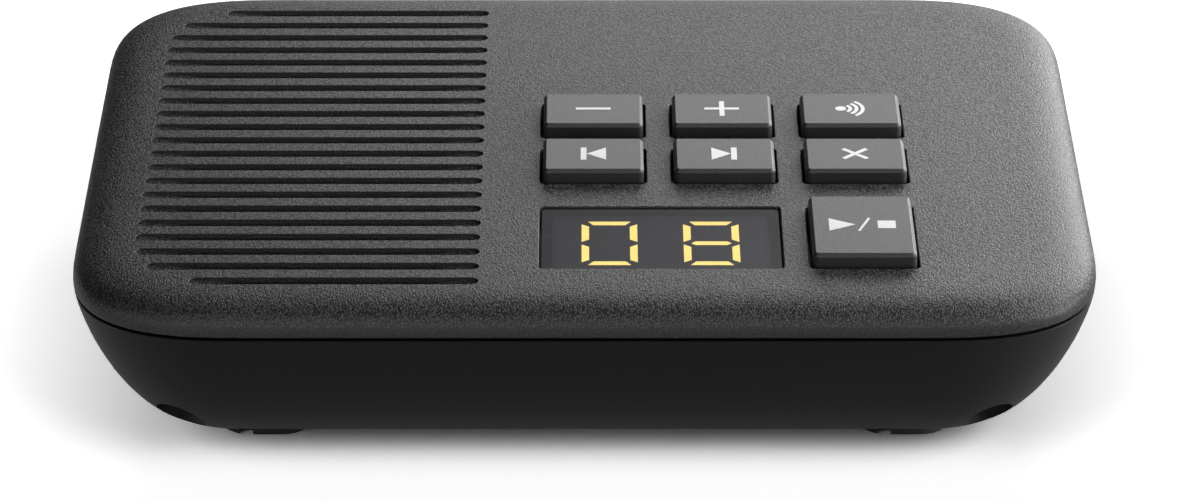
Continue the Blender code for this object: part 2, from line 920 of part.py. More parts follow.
def build_board_screws(looks, parent):
    flip = (math.pi, 0, 0)
    z = board_top_z + seat_gap + board_screw_head_height
    for number, (x, y) in enumerate(post_places(), 1):
        name = "main_board_screw_" + str(number)
        place(
            name, board_screw_mesh(), looks["steel"],
            location=(x, y, z), parent=parent, rotation=flip, smooth=True,
        )
    z = key_board_z - seat_gap - board_screw_head_height
    for number, (x, y) in enumerate(board_boss_places(), 1):
        name = "key_board_screw_" + str(number)
        place(name, board_screw_mesh(), looks["steel"], location=(x, y, z), parent=parent, smooth=True)


# Keys, mat and key board

def key_mesh(depth):
    """A key from its plunger up, about the point where its axis meets the cover's top."""
    bm = bmesh.new()
    half_x = key_width / 2
    half_y = depth / 2
    plunger = key_plunger_width / 2
    flange_x = opening_width / 2 + key_flange_overlap
    flange_y = half_y + key_front_gap + key_flange_overlap
    drawn = key_edge_chamfer
    levels = [
        (plunger, plunger, key_plunger_z),
        (plunger, plunger, key_flange_z),
        (flange_x, flange_y, key_flange_z),
        (flange_x, flange_y, key_flange_top_z),
        (half_x, half_y, key_flange_top_z),
        (half_x, half_y, top_z + key_rise - drawn),
        (half_x - drawn, half_y - drawn, top_z + key_rise),
    ]
    rings = []
    for x, y, z in levels:
        rings.append(at_height(rounded_outline(x, y, key_corner_radius), z - top_z))
    add_loft(bm, rings)
    return bm


def build_keys(looks, parent):
    for name, (x, y, depth) in key_places.items():
        place(name, key_mesh(depth), looks["key_plastic"], location=(x, y, top_z), parent=parent)


def mat_outline():
    """An L round the six small keys and the play key."""
    left = first_column_x - opening_width / 2 + mat_margin
    right = first_column_x + 2 * column_pitch + opening_width / 2 - mat_margin
    inner = right - opening_width + 2 * mat_margin
    rear = first_row_y + opening_depth / 2
    middle = second_row_y - opening_depth / 2
    front = window_y - window_opening_depth / 2 + mat_margin
    return [(right, front), (right, rear), (left, rear), (left, middle), (inner, middle), (inner, front)]


def dome_tools(name, shrink, low):
    """Frustums under every key: the domes' outsides, or their hollows when shrunk."""
    bm = bmesh.new()
    for x, y, _ in key_places.values():
        base = circle(dome_base_radius - shrink, small_steps, (x, y))
        top = circle(dome_top_radius - shrink, small_steps, (x, y))
        shoulder_z = mat_top_z + dome_height - shrink
        add_loft(bm, [at_height(base, low), at_height(base, mat_top_z), at_height(top, shoulder_z)])
    return tool(name, bm)


def build_key_mat(looks, parent):
    bm = bmesh.new()
    add_prism(bm, mat_outline(), mat_z, mat_top_z)
    mat = place("key_mat", bm, looks["silicone"], parent=parent)
    join(mat, dome_tools("mat_domes", 0, mat_z + mat_thickness / 2))
    cut(mat, dome_tools("mat_hollows", dome_wall, mat_z - overrun))


def key_board_outline():
    left = left_boss_x - key_board_margin
    right = right_boss_x + key_board_margin
    rear = rear_boss_y + key_board_margin
    front = window_y - window_opening_depth / 2 - key_board_margin
    half_x = (right - left) / 2
    half_y = (rear - front) / 2
    centre = ((left + right) / 2, (rear + front) / 2)
    return rounded_outline(half_x, half_y, board_corner_radius, centre=centre)


def build_key_board(looks, parent):
    bm = bmesh.new()
    add_prism(bm, key_board_outline(), key_board_z, key_board_top_z)
    board = place("key_board", bm, looks["board"], parent=parent)
    holes = bmesh.new()
    low = key_board_z - overrun
    high = key_board_top_z + overrun
    for x, y in board_boss_places():
        add_cylinder(holes, board_screw_radius + seat_gap, low, high, (x, y), post_steps)
    relief = cover_boss_radius + board_side_clearance
    add_cylinder(holes, relief, low, high, (well_x, -well_y))
    cut(board, tool("key_board_holes", holes))


# Display

def build_display_window(looks, parent):
    plate_x = window_opening_width / 2 - window_gap
    plate_y = window_opening_depth / 2 - window_gap
    flange_x = window_opening_width / 2 + window_flange_overlap
    flange_y = window_opening_depth / 2 + window_flange_overlap
    pocket_x = plate_x - display_margin
    pocket_y = plate_y - display_margin / 2
    drawn = window_edge_round
    radius = opening_corner_radius
    surface_z = top_z - window_recess
    levels = [
        (pocket_x, pocket_y, surface_z - window_thickness),
        (pocket_x, pocket_y, ceiling_z - seat_gap - window_flange_thickness),
        (flange_x, flange_y, ceiling_z - seat_gap - window_flange_thickness),
        (flange_x, flange_y, ceiling_z - seat_gap),
        (plate_x, plate_y, ceiling_z - seat_gap),
        (plate_x, plate_y, surface_z - drawn),
        (plate_x - drawn, plate_y - drawn, surface_z),
    ]
    bm = bmesh.new()
    rings = [at_height(rounded_outline(x, y, radius), z - top_z) for x, y, z in levels]
    add_loft(bm, rings)
    place("display_window", bm, looks["window_plastic"], location=(window_x, window_y, top_z), parent=parent)


def digit_outlines(centre_x):
    """Seven bars with slanted ends, as on a figure eight: four uprights and three flat bars."""
    half_w = digit_width / 2
    half_h = digit_height / 2
    flat = [
        (half_w - bar_outer_inset, half_h),
        (bar_outer_inset - half_w, half_h),
        (bar_inner_inset - half_w, half_h - flat_bar_width),
        (half_w - bar_inner_inset, half_h - flat_bar_width),
    ]
    upright = [
        (half_w, middle_outer_gap),
        (half_w, half_h - bar_outer_inset),
        (half_w - upright_bar_width, half_h - bar_inner_inset),
        (half_w - upright_bar_width, middle_inner_gap),
    ]
    reach = half_w - upright_bar_width - middle_bar_gap
    half = flat_bar_width / 2
    middle = [(reach, 0), (reach - half, half), (half - reach, half)]
    middle = middle + [(-x, -y) for x, y in middle]
    outlines = [flat, [(-x, -y) for x, y in flat], middle]
    outlines.append(upright)
    outlines.append([(-x, -y) for x, y in upright])
    outlines.append([(-x, y) for x, y in reversed(upright)])
    outlines.append([(x, -y) for x, y in reversed(upright)])
    return [[(centre_x + x, digit_set_back + y) for x, y in outline] for outline in outlines]


def build_display_module(looks, parent):
    """The display's block, with its fourteen bars standing a little proud of the face."""
    half_x = window_opening_width / 2 - window_gap - display_margin - seat_gap
    half_y = window_opening_depth / 2 - window_gap - display_margin / 2 - seat_gap
    face_z = display_top_z - segment_rise
    low = key_board_top_z + seat_gap
    bm = bmesh.new()
    add_prism(bm, rectangle(half_x, half_y), low - face_z, 0)
    location = (window_x, window_y, face_z)
    module = place("display_module", bm, looks["display_plastic"], location=location, parent=parent)
    bars = bmesh.new()
    for centre_x in (-digit_pitch / 2, digit_pitch / 2):
        for outline in digit_outlines(centre_x):
            add_prism(bars, outline, -segment_rise, segment_rise)
    join(module, tool("display_bars", bars, location=location))


# Main board and the parts on it

def build_main_board(looks, parent):
    half_y = (board_rear_y - board_front_y) / 2
    centre = (0, (board_rear_y + board_front_y) / 2)
    bm = bmesh.new()
    outline = rounded_outline(board_half_width, half_y, board_corner_radius, centre=centre)
    add_prism(bm, outline, board_z, board_top_z)
    board = place("main_board", bm, looks["board"], parent=parent)
    holes = bmesh.new()
    for x, y in post_places():
        low = board_z - overrun
        high = board_top_z + overrun
        add_cylinder(holes, board_screw_radius + seat_gap, low, high, (x, y), post_steps)
    cut(board, tool("main_board_holes", holes))


def build_shield(looks, parent):
    half_x = shield_width / 2
    half_y = shield_depth / 2
    drawn = shield_wall
    levels = [
        (half_x - shield_wall, half_y - shield_wall, shield_height - shield_wall),
        (half_x - shield_wall, half_y - shield_wall, 0),
        (half_x, half_y, 0),
        (half_x, half_y, shield_height - drawn),
        (half_x - drawn, half_y - drawn, shield_height),
    ]
    bm = bmesh.new()
    add_loft(bm, [at_height(rounded_outline(x, y, board_thickness), z) for x, y, z in levels])
    location = (shield_x, shield_y, part_z)
    place("radio_shield", bm, looks["shield_metal"], location=location, parent=parent)


def chip_mesh(width, depth, height):
    bm = bmesh.new()
    drawn = chip_edge_round
    rings = [
        at_height(rectangle(width / 2, depth / 2), 0),
        at_height(rectangle(width / 2, depth / 2), height - drawn),
        at_height(rectangle(width / 2 - drawn, depth / 2 - drawn), height),
    ]
    add_loft(bm, rings)
    return bm


def build_chips(looks, parent):
    look = looks["chip_plastic"]
    bm = chip_mesh(processor_width, processor_width, processor_height)
    place("processor_chip", bm, look, location=(processor_x, processor_y, part_z), parent=parent)
    bm = chip_mesh(memory_width, memory_depth, memory_height)
    place("memory_chip", bm, look, location=(processor_x, memory_y, part_z), parent=parent)


def build_capacitors(looks, parent):
    radius = capacitor_radius
    neck = radius - capacitor_groove_depth
    groove = capacitor_groove_height
    profile = [
        (0, 0), (neck, 0), (radius, groove / 2), (radius, groove), (neck, groove * 3 / 2),
        (radius, groove * 2), (radius, capacitor_height - groove / 2), (neck, capacitor_height),
        (0, capacitor_height),
    ]
    for number in (1, 2):
        y = capacitor_y - (number - 1) * capacitor_pitch
        bm = turned(profile, small_steps, closed=False)
        name = "capacitor_" + str(number)
        place(
            name, bm, looks["capacitor_sleeve"],
            location=(capacitor_x, y, part_z), parent=parent, smooth=True,
        )


def build_antennas(looks, parent):
    """A bent strip on each side: a leg on the board and an arm along it."""
    outline = [
        (0, 0), (antenna_leg, 0), (antenna_leg, antenna_height - antenna_thickness),
        (antenna_length, antenna_height - antenna_thickness), (antenna_length, antenna_height),
        (0, antenna_height),
    ]
    stand = (math.pi / 2, 0, math.pi / 2)
    for side, sign in (("left", -1), ("right", 1)):
        bm = bmesh.new()
        add_prism(bm, outline, -antenna_width / 2, antenna_width / 2)
        x = sign * (board_half_width - antenna_inset)
        y = antenna_y - antenna_length / 2
        place(
            side + "_antenna", bm, looks["contact_metal"],
            location=(x, y, part_z), parent=parent, rotation=stand,
        )


def link_pin_places():
    middle = (link_pins - 1) / 2
    return [(number - middle) * link_pitch for number in range(link_pins)]


def build_board_link(looks, parent):
    """The pin header under the key board and the socket that takes its pins."""
    half_x = link_pins * link_pitch / 2
    header_top = key_board_z - seat_gap
    header_low = header_top - link_header_height
    bm = bmesh.new()
    add_prism(bm, rectangle(half_x, link_width / 2), header_low, header_top)
    location = (link_x, link_y, 0)
    header = place("link_header", bm, looks["chip_plastic"], location=location, parent=parent)
    pins = bmesh.new()
    for x in link_pin_places():
        outline = rectangle(link_pin_width / 2, link_pin_width / 2, (x, 0))
        add_prism(pins, outline, link_socket_z - link_pin_entry, header_low + link_header_height / 2)
    join(header, tool("link_pins", pins, location=location))
    bm = bmesh.new()
    add_prism(bm, rectangle(half_x, link_width / 2), part_z, link_socket_z)
    socket = place("link_socket", bm, looks["chip_plastic"], location=location, parent=parent)
    holes = bmesh.new()
    for x in link_pin_places():
        half = link_pin_width / 2 + seat_gap
        low = link_socket_z - link_pin_entry - seat_gap
        add_prism(holes, rectangle(half, half, (x, 0)), low, link_socket_z + overrun)
    cut(socket, tool("link_holes", holes, location=location))


# Sockets, each modelled with its mouth up and its roof at -Y, then laid to face the back

def socket_outline(width, height, tab_width, tab_height):
    """A plug opening with its roof at -height and, under its floor, a slot for the plug's tab."""
    return [
        (width / 2, -height), (width / 2, 0), (tab_width / 2, 0), (tab_width / 2, tab_height),
        (-tab_width / 2, tab_height), (-tab_width / 2, 0), (-width / 2, 0), (-width / 2, -height),
    ]


def build_jack(name, look, parent, x, body, mouth):
    width, height, depth = body
    socket_width, socket_height, socket_depth = mouth
    lay = (-math.pi / 2, 0, 0)
    location = (x, jack_face_y, socket_floor_z)
    bm = bmesh.new()
    low = socket_floor_z - part_z
    outline = rectangle(width / 2, height / 2, (0, low - height / 2))
    add_prism(bm, outline, -depth, 0)
    jack = place(name, bm, look, location=location, parent=parent, rotation=lay)
    hollow = bmesh.new()
    outline = socket_outline(
        socket_width, socket_height, line_tab_width * socket_width / line_socket_width, line_tab_height
    )
    add_prism(hollow, outline, -socket_depth, overrun)
    cut(jack, tool(name + "_hollow", hollow, location=location, rotation=lay))


def build_contacts(name, look, parent, x, mouth, count):
    """A bar at the back of the socket with sprung wires along its roof, as one comb."""
    _, height, depth = mouth
    half_x = (count - 1) * contact_pitch / 2 + contact_thickness
    roof = height - seat_gap
    bm = bmesh.new()
    back = depth - seat_gap
    bar = rectangle(half_x, contact_bar_depth / 2, (0, -back + contact_bar_depth / 2))
    location = (x, jack_face_y, socket_floor_z)
    add_prism(bm, bar, roof - 2 * contact_thickness, roof)
    comb = place(name, bm, look, location=location, parent=parent)
    wires = bmesh.new()
    for number in range(count):
        wire_x = (number - (count - 1) / 2) * contact_pitch
        half_y = contact_reach / 2
        centre = (wire_x, -back + contact_bar_depth / 2 + half_y)
        add_prism(
            wires, rectangle(contact_thickness / 2, half_y, centre),
            roof - contact_thickness * 3 / 2, roof - contact_thickness / 2,
        )
    join(comb, tool(name + "_wires", wires, location=location))


def build_sockets(looks, parent):
    line_mouth = (line_socket_width, line_socket_height, line_socket_depth)
    line_body = (line_jack_width, line_jack_height, line_jack_depth)
    build_jack("line_jack", looks["socket_plastic"], parent, line_jack_x, line_body, line_mouth)
    build_contacts("line_contacts", looks["contact_metal"], parent, line_jack_x, line_mouth, 4)
    power_mouth = (power_socket_width, power_socket_height, power_socket_depth)
    power_body = (power_jack_width, power_jack_height, power_jack_depth)
    build_jack("power_jack", looks["socket_plastic"], parent, power_jack_x, power_body, power_mouth)
    build_contacts("power_contacts", looks["contact_metal"], parent, power_jack_x, power_mouth, 2)


# Speaker, modelled about its own axis

def cone_top_at(radius):
    """Height of the cone's upper face at this radius."""
    share = (radius - coil_inner_radius) / (cone_lip_radius - coil_inner_radius)
    return cone_neck_z + cone_thickness + (cone_depth) * share


def frame_profile():
    seat_radius = yoke_radius + seat_gap
    seat_z = yoke_top_z - yoke_seat_depth
    return [
        (mouth_radius, flange_top_z),
        (speaker_radius, flange_top_z),
        (speaker_radius, flange_z),
        (mouth_radius + basket_wall, flange_z),
        (seat_radius + basket_wall, seat_z),
        (seat_radius, seat_z),
        (seat_radius, yoke_top_z),
        (mouth_radius, flange_z),
    ]


def yoke_profile():
    return [
        (0, yoke_z), (yoke_radius, yoke_z), (yoke_radius, yoke_top_z),
        (yoke_inner_radius, yoke_top_z), (yoke_inner_radius, yoke_z + yoke_wall), (0, yoke_z + yoke_wall),
    ]


def disc_profile(radius, low, high):
    return [(0, low), (radius, low), (radius, high), (0, high)]


def ring_profile(inner, outer, low, high):
    return [(inner, low), (outer, low), (outer, high), (inner, high)]


def cone_profile():
    lip_top = flange_top_z
    lip_low = flange_top_z - cone_thickness
    return [
        (coil_inner_radius, cone_neck_z),
        (cone_lip_radius, lip_low),
        (cone_edge_radius, lip_low),
        (cone_edge_radius, lip_top),
        (cone_lip_radius, lip_top),
        (coil_inner_radius, cone_neck_z + cone_thickness),
    ]


def surround_profile():
    """Two flat seats with a low roll between them."""
    low = flange_top_z + seat_gap
    lower = []
    for step in range(arc_steps + 1):
        share = step / arc_steps
        rise = surround_roll_height * math.sin(math.pi * share)
        lower.append((cone_edge_radius + surround_roll_width * share, low + rise))
    lower = [(cone_lip_radius, low)] + lower + [(mouth_radius + surround_seat, low)]
    upper = [(radius, z + surround_thickness) for radius, z in reversed(lower)]
    return lower + upper


def dust_cap_profile():
    rim = coil_outer_radius + dust_cap_overlap
    low = cone_top_at(rim) + seat_gap
    outer = []
    inner = []
    for step in range(arc_steps + 1):
        turn = math.pi / 2 * step / arc_steps
        outer.append((rim * math.cos(turn), low + (dust_cap_rise + dust_cap_thickness) * math.sin(turn)))
        inner.append(((rim - dust_cap_thickness) * math.cos(turn), low + dust_cap_rise * math.sin(turn)))
    outer[-1] = (0, outer[-1][1])
    inner[-1] = (0, inner[-1][1])
    return list(reversed(inner)) + outer


def build_speaker(looks, parent):
    def spun(name, profile, look, closed, steps=large_steps):
        place(name, turned(profile, steps, closed), looks[look], parent=parent, smooth=True)

    magnet_low = yoke_z + yoke_wall + seat_gap
    plate_low = yoke_top_z - pole_plate_thickness
    coil_low = yoke_z + yoke_wall + coil_floor_gap + cone_travel
    coil_top = cone_neck_z - seat_gap
    gasket_inner = mouth_radius + surround_seat + seat_gap
    spun("speaker_frame", frame_profile(), "steel", True)
    spun("speaker_yoke", yoke_profile(), "steel", False)
    spun("speaker_magnet", disc_profile(pole_radius, magnet_low, plate_low - seat_gap), "magnet", False)
    spun("pole_plate", disc_profile(pole_radius, plate_low, yoke_top_z), "steel", False)
    coil = ring_profile(coil_inner_radius, coil_outer_radius, coil_low, coil_top)
    spun("voice_coil", coil, "copper", True)
    spun("speaker_cone", cone_profile(), "cone_paper", True)
    spun("dust_cap", dust_cap_profile(), "cone_paper", False)
    spun("speaker_surround", surround_profile(), "rubber", True)
    gasket = ring_profile(gasket_inner, speaker_radius, gasket_z, gasket_z + gasket_thickness)
    spun("speaker_gasket", gasket, "foam", True)


def terminal_centre():
    radius = speaker_radius - terminal_depth / 2
    return (
        grille_x + radius * math.cos(terminal_turn),
        radius * math.sin(terminal_turn),
        flange_z - seat_gap - terminal_thickness,
    )


def build_terminals(looks, parent):
    bm = bmesh.new()
    add_prism(bm, rectangle(terminal_depth / 2, terminal_width / 2), 0, terminal_thickness)
    place(
        "speaker_terminals", bm, looks["board"],
        location=terminal_centre(), parent=parent, rotation=(0, 0, terminal_turn),
    )


def build_leads(looks, parent):
    """Two leads from the terminals down to their pads on the main board."""
    across = Vector((-math.sin(terminal_turn), math.cos(terminal_turn), 0))
    for name, look, sign in (("red_lead", "red_lead", 1), ("black_lead", "black_lead", -1)):
        start = Vector(terminal_centre()) + across * (sign * lead_spread / 2)
        start.z = start.z - seat_gap
        pad_y = board_front_y + lead_pad_front_offset + sign * lead_spread / 2
        end = Vector((grille_x + lead_pad_offset, pad_y, part_z))
        drop = Vector((0, 0, (start.z - end.z) / 2))
        controls = (start, start - drop, end + drop, end)
        curve = bpy.data.curves.new(name, "CURVE")
        curve.dimensions = "3D"
        curve.bevel_depth = lead_diameter / 2
        curve.bevel_resolution = lead_bevel_resolution
        curve.use_fill_caps = True
        spline = curve.splines.new("POLY")
        spline.points.add(lead_points - 1)
        for number, point in enumerate(spline.points):
            point.co = (*bezier(controls, number / (lead_points - 1)), 1)
        curve.materials.append(looks[look])
        obj = bpy.data.objects.new(name, curve)
        bpy.context.scene.collection.objects.link(obj)
        obj.parent = parent


def bezier(controls, share):
    a, b, c, d = controls
    rest = 1 - share
    return a * rest**3 + b * 3 * rest**2 * share + c * 3 * rest * share**2 + d * share**3


def build_cloth(looks, parent):
    """The dust cloth under the whole grille, cut out round the bosses and the speaker's holders."""
    half_x = (grille_right_x + flat_half_width) / 2 + cloth_margin
    rows = slot_rows()
    half_y = rows[-1][1] + slot_width / 2 + cloth_margin
    bm = bmesh.new()
    outline = rounded_outline(half_x, half_y, flat_corner_radius, centre=(grille_x, 0), steps=arc_steps)
    add_prism(bm, outline, cloth_z, cloth_z + cloth_thickness)
    cloth = place("grille_cloth", bm, looks["cloth"], parent=parent)
    holes = bmesh.new()
    for turn in holder_turns:
        spare = seat_gap / holder_inner_radius
        outline = arc_band(
            holder_inner_radius - seat_gap,
            holder_outer_radius + seat_gap,
            turn,
            math.pi * holder_turn_share + spare,
            (grille_x, 0),
        )
        add_prism(holes, outline, cloth_z - overrun, cloth_z + cloth_thickness + overrun)
    for y in (-well_y, well_y):
        radius = cover_boss_radius + seat_gap
        add_cylinder(holes, radius, cloth_z - overrun, cloth_z + cloth_thickness + overrun, (-well_x, y))
    cut(cloth, tool("cloth_holes", holes))


def clear_scene():
    for obj in list(bpy.data.objects):
        bpy.data.objects.remove(obj, do_unlink=True)


def main():
    clear_scene()
    looks = make_looks()
    machine = empty("answering_machine")
    shells = empty("shells", parent=machine)
    key_group = empty("key_group", parent=machine)
    board_group = empty("board_group", parent=machine)
    speaker_group = empty("speaker_group", location=(grille_x, 0, 0), parent=machine)
    build_top_cover(looks, shells)
    build_bottom_case(looks, shells)
    build_feet(looks, shells)
    build_case_screws(looks, shells)
    build_display_window(looks, shells)
    build_cloth(looks, shells)
    build_keys(looks, key_group)
    build_key_mat(looks, key_group)
    build_key_board(looks, key_group)
    build_display_module(looks, key_group)
    build_main_board(looks, board_group)
    build_board_screws(looks, board_group)
    build_board_link(looks, board_group)
    build_shield(looks, board_group)
    build_chips(looks, board_group)
    build_capacitors(looks, board_group)
    build_antennas(looks, board_group)
    build_sockets(looks, board_group)
    build_speaker(looks, speaker_group)
    build_terminals(looks, machine)
    build_leads(looks, machine)


main()
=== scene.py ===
"""The looks of the answering machine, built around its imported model.

Lengths are in metres. X runs to the right, Y to the back and Z up from the desk.
"""

import json
import math

import bmesh
import bpy
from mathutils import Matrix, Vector


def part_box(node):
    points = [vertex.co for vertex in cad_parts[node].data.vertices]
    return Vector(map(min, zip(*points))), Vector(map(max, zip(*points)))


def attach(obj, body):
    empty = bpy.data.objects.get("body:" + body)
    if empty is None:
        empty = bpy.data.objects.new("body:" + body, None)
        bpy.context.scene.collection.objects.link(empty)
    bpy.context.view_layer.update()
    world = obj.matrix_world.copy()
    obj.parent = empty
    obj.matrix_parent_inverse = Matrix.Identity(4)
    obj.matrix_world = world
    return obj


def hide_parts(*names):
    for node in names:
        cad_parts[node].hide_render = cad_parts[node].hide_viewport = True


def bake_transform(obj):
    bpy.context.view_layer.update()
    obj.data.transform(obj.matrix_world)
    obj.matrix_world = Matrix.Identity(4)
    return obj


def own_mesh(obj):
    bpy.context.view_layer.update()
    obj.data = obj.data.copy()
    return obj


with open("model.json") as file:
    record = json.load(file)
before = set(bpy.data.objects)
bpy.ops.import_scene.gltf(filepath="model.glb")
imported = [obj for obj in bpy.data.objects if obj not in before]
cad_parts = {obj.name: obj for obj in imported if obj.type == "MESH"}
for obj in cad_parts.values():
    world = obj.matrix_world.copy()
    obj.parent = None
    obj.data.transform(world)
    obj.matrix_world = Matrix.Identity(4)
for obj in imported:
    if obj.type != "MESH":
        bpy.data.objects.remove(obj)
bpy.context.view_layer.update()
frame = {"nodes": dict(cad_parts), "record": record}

# Clearances
seat_gap = 0.0003
overrun = 0.001
skim = 0.000002

# Body outline
corner_radius = 0.019
least_corner_radius = 0.001
corner_exponent = 2.8
corner_steps = 20

# Lower shell
shell_wall = 0.002
floor_thickness = 0.0016
bowl_inset = 0.014
bowl_start_exponent = 1.28
bowl_turn_exponent = 2.13
bowl_levels = 26
inner_bowl_share = 0.9
inner_bowl_levels = 8
rim_round = 0.0002

# Upper shell
cover_thickness = 0.002
shoulder_inset = 0.00646
shoulder_start_exponent = 3.34
shoulder_turn_exponent = 2.37
shoulder_levels = 22
tongue_depth = 0.0012
tongue_thickness = 0.0012
ceiling_round = 0.001

# Wells, bosses, feet and label recess
well_radius = 0.0026
well_wall = 0.0024
well_height = 0.0083
well_ledge = 0.002
well_mouth_round = 0.0003
case_screw_hole = 0.0017
cover_boss_radius = 0.0032
board_boss_radius = 0.002
board_screw_hole = 0.0012
board_screw_reach = 0.0038
post_radius = 0.0025
post_height = 0.0009
foot_corner_radius = 0.003
foot_edge_round = 0.0003
foot_seat_depth = 0.0009
foot_notch_width = 0.0014
foot_notch_depth = 0.0012
foot_notch_offset = 0.002
label_width = 0.042
label_depth = 0.02
label_corner_radius = 0.0008
label_recess = 0.0003

# Socket bay
bay_margin = 0.005
bay_roof = 0.0014
socket_floor = 0.0018
mouth_drop = 0.0011
line_mouth_width = 0.0098
line_mouth_height = 0.0067
power_mouth_width = 0.0066
power_mouth_height = 0.0062

# Openings in the top
rim_flare = 0.00014
opening_corner_radius = 0.0005
key_side_gap = 0.0003
key_front_gap = 0.0003
key_flange_overlap = 0.0007
window_flange_overlap = 0.001
slot_pitch = 0.003577
slot_width = 0.0016
slot_margin = 0.0002
grille_key_gap = 0.0062
slot_tip_depth = 0.00022
slot_rim = 0.00007
slot_tip_fall = 0.0003
slot_bow_inset = 0.0018
slot_bow_length = 0.0032
slot_keel_narrowing = 0.00012
slot_end_steps = 10

# Keys
key_corner_radius = 0.0006
key_chamfer = 0.00033
key_edge_ease = 0.00006
key_flange_thickness = 0.0009
key_plunger_width = 0.003

# Symbols on the keys
mark_thickness = 0.00002
mark_sink = 0.00001
minus_length = 0.0038
plus_length = 0.0038
plus_height = 0.004
bar_width = 0.00055
wave_dot_radius = 0.0006
wave_start = -0.00106
wave_first_radius = 0.00087
wave_width = 0.0004
wave_pitch = 0.000685
wave_count = 3
wave_half_turn = math.radians(50)
triangle_length = 0.0021
triangle_half_height = 0.0016
skip_bar_width = 0.00062
cross_length = 0.0036
cross_width = 0.00052
play_length = 0.00277
play_half_height = 0.00155
play_left = -0.00349
slash_left = -0.00055
slash_right = 0.0009
slash_half_height = 0.0016
slash_width = 0.00028
stop_left = 0.0016
stop_side = 0.0019

# Window and display
window_gap = 0.0002
window_recess = 0.0002
window_thickness = 0.0006
window_flange_thickness = 0.001
window_edge_round = 0.00018
display_margin = 0.0012
digit_width = 0.00586
digit_height = 0.01075
digit_pitch = 0.0107
digit_set_back = 0.00088
flat_bar_width = 0.00084
upright_bar_width = 0.00078
bar_outer_inset = 0.0007
bar_inner_inset = 0.00125
middle_outer_gap = 0.00035
middle_inner_gap = 0.00095
middle_bar_gap = 0.00005
segment_rise = 0.00003

# Speaker, its holders and the cloth
holder_gap = 0.0004
holder_wall = 0.0014
holder_half_turn = math.pi * 0.1
hook_half_turn = math.pi * 0.04
hook_reach = 0.0008
hook_height = 0.0009
holder_turns = (0, 2 * math.pi / 3, 4 * math.pi / 3)
speaker_flange_width = 0.0026
speaker_flange_thickness = 0.001
surround_seat = 0.001
surround_roll_height = 0.00035
surround_thickness = 0.00025
surround_wedges = 14
wedge_steps = 4
gasket_round = 0.0002
thread_pitch = 0.00042
thread_height = 0.00006

# Key mat
mat_thickness = 0.0008
mat_margin = 0.0014
dome_base_radius = 0.0026
dome_top_radius = 0.0016
dome_wall = 0.0005
dome_foot = 0.00025
dome_round = 0.00025
dome_core = 0.0009

# Screws, each with its head's radius, its head's height and its shank's radius
case_screw_sizes = (0.0021, 0.0018, 0.0014)
board_screw_sizes = (0.0019, 0.0012, 0.0009)
screw_dish = 0.0004
recess_width = 0.0005
recess_reach = 0.0012
recess_depth = 0.0007

# Smoothness
round_steps = 4
opening_steps = 6
circle_steps = 40
edge_angle = math.radians(32)

# Sizes and places read from the frame
cover_low, cover_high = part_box("top_cover")
case_low, case_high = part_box("bottom_case")
body_width = cover_high.x - cover_low.x
body_depth = cover_high.y - cover_low.y
top_z = cover_high.z
base_z = case_low.z
rim_z = case_high.z
split_z = rim_z + seat_gap
cover_rise = top_z - split_z
lower_height = split_z - base_z
floor_z = base_z + floor_thickness
ceiling_z = top_z - cover_thickness
ledge_z = base_z + well_height
ledge_top_z = ledge_z + well_ledge
flat_half_width = body_width / 2 - shoulder_inset
flat_half_depth = body_depth / 2 - shoulder_inset
flat_corner_radius = corner_radius - shoulder_inset
hook_top_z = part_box("speaker_frame")[1].z - speaker_flange_thickness - seat_gap

KEY_NAMES = ["volume_down", "volume_up", "paging", "previous", "next", "delete", "play_stop"]
FOOT_NAMES = ["front_left", "front_right", "rear_left", "rear_right"]


def middle_of(part):
    low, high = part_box(part)
    return (low + high) / 2


def half_of(part):
    low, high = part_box(part)
    return (high - low) / 2


def place_of(part):
    """The middle of a part of the frame, seen from above."""
    middle = middle_of(part)
    return middle.x, middle.y


def corner_places():
    return [place_of(name + "_case_screw") for name in FOOT_NAMES]


def board_screws(board):
    return [board + "_screw_" + str(number) for number in range(1, 5)]


def board_places(board):
    return [place_of(name) for name in board_screws(board)]


# Outlines

def moved(outline, centre):
    return [(centre[0] + x, centre[1] + y) for x, y in outline]


def turned(outline, angle):
    cos = math.cos(angle)
    sin = math.sin(angle)
    return [(x * cos - y * sin, x * sin + y * cos) for x, y in outline]


def mirrored(outline, across, along):
    return [(x * across, y * along) for x, y in outline]


def rectangle(half_x, half_y, centre=(0, 0)):
    return moved([(half_x, -half_y), (half_x, half_y), (-half_x, half_y), (-half_x, -half_y)], centre)


def rounded_outline(half_x, half_y, radius, exponent=2.0, steps=opening_steps, centre=(0, 0)):
    """Anticlockwise points of a rectangle whose corners are superellipse arcs."""
    arc = []
    for step in range(steps + 1):
        turn = math.pi / 2 * step / steps
        across = radius * max(0.0, math.cos(turn)) ** (2 / exponent)
        along = radius * math.sin(turn) ** (2 / exponent)
        arc.append((half_x - radius + across, half_y - radius + along))
    points = arc + mirrored(arc, -1, 1)[::-1] + mirrored(arc, -1, -1) + mirrored(arc, 1, -1)[::-1]
    return moved(points, centre)


def arc_points(centre, reach_x, reach_y, start, sweep, steps):
    """Points along part of an ellipse, both ends included."""
    points = []
    for step in range(steps + 1):
        turn = start + sweep * step / steps
        points.append((centre[0] + reach_x * math.cos(turn), centre[1] + reach_y * math.sin(turn)))
    return points


def slot_outline(left, right, y, half, bow=None):
    """A slot along X whose ends are round, or drawn out like a boat's bow."""
    reach = bow or half
    right_end = arc_points((right - reach, y), reach, half, -math.pi / 2, math.pi, slot_end_steps)
    return right_end + arc_points((left + reach, y), reach, half, math.pi / 2, math.pi, slot_end_steps)


def circle(radius, centre=(0, 0), steps=circle_steps):
    return arc_points(centre, radius, radius, 0, 2 * math.pi, steps)[:-1]


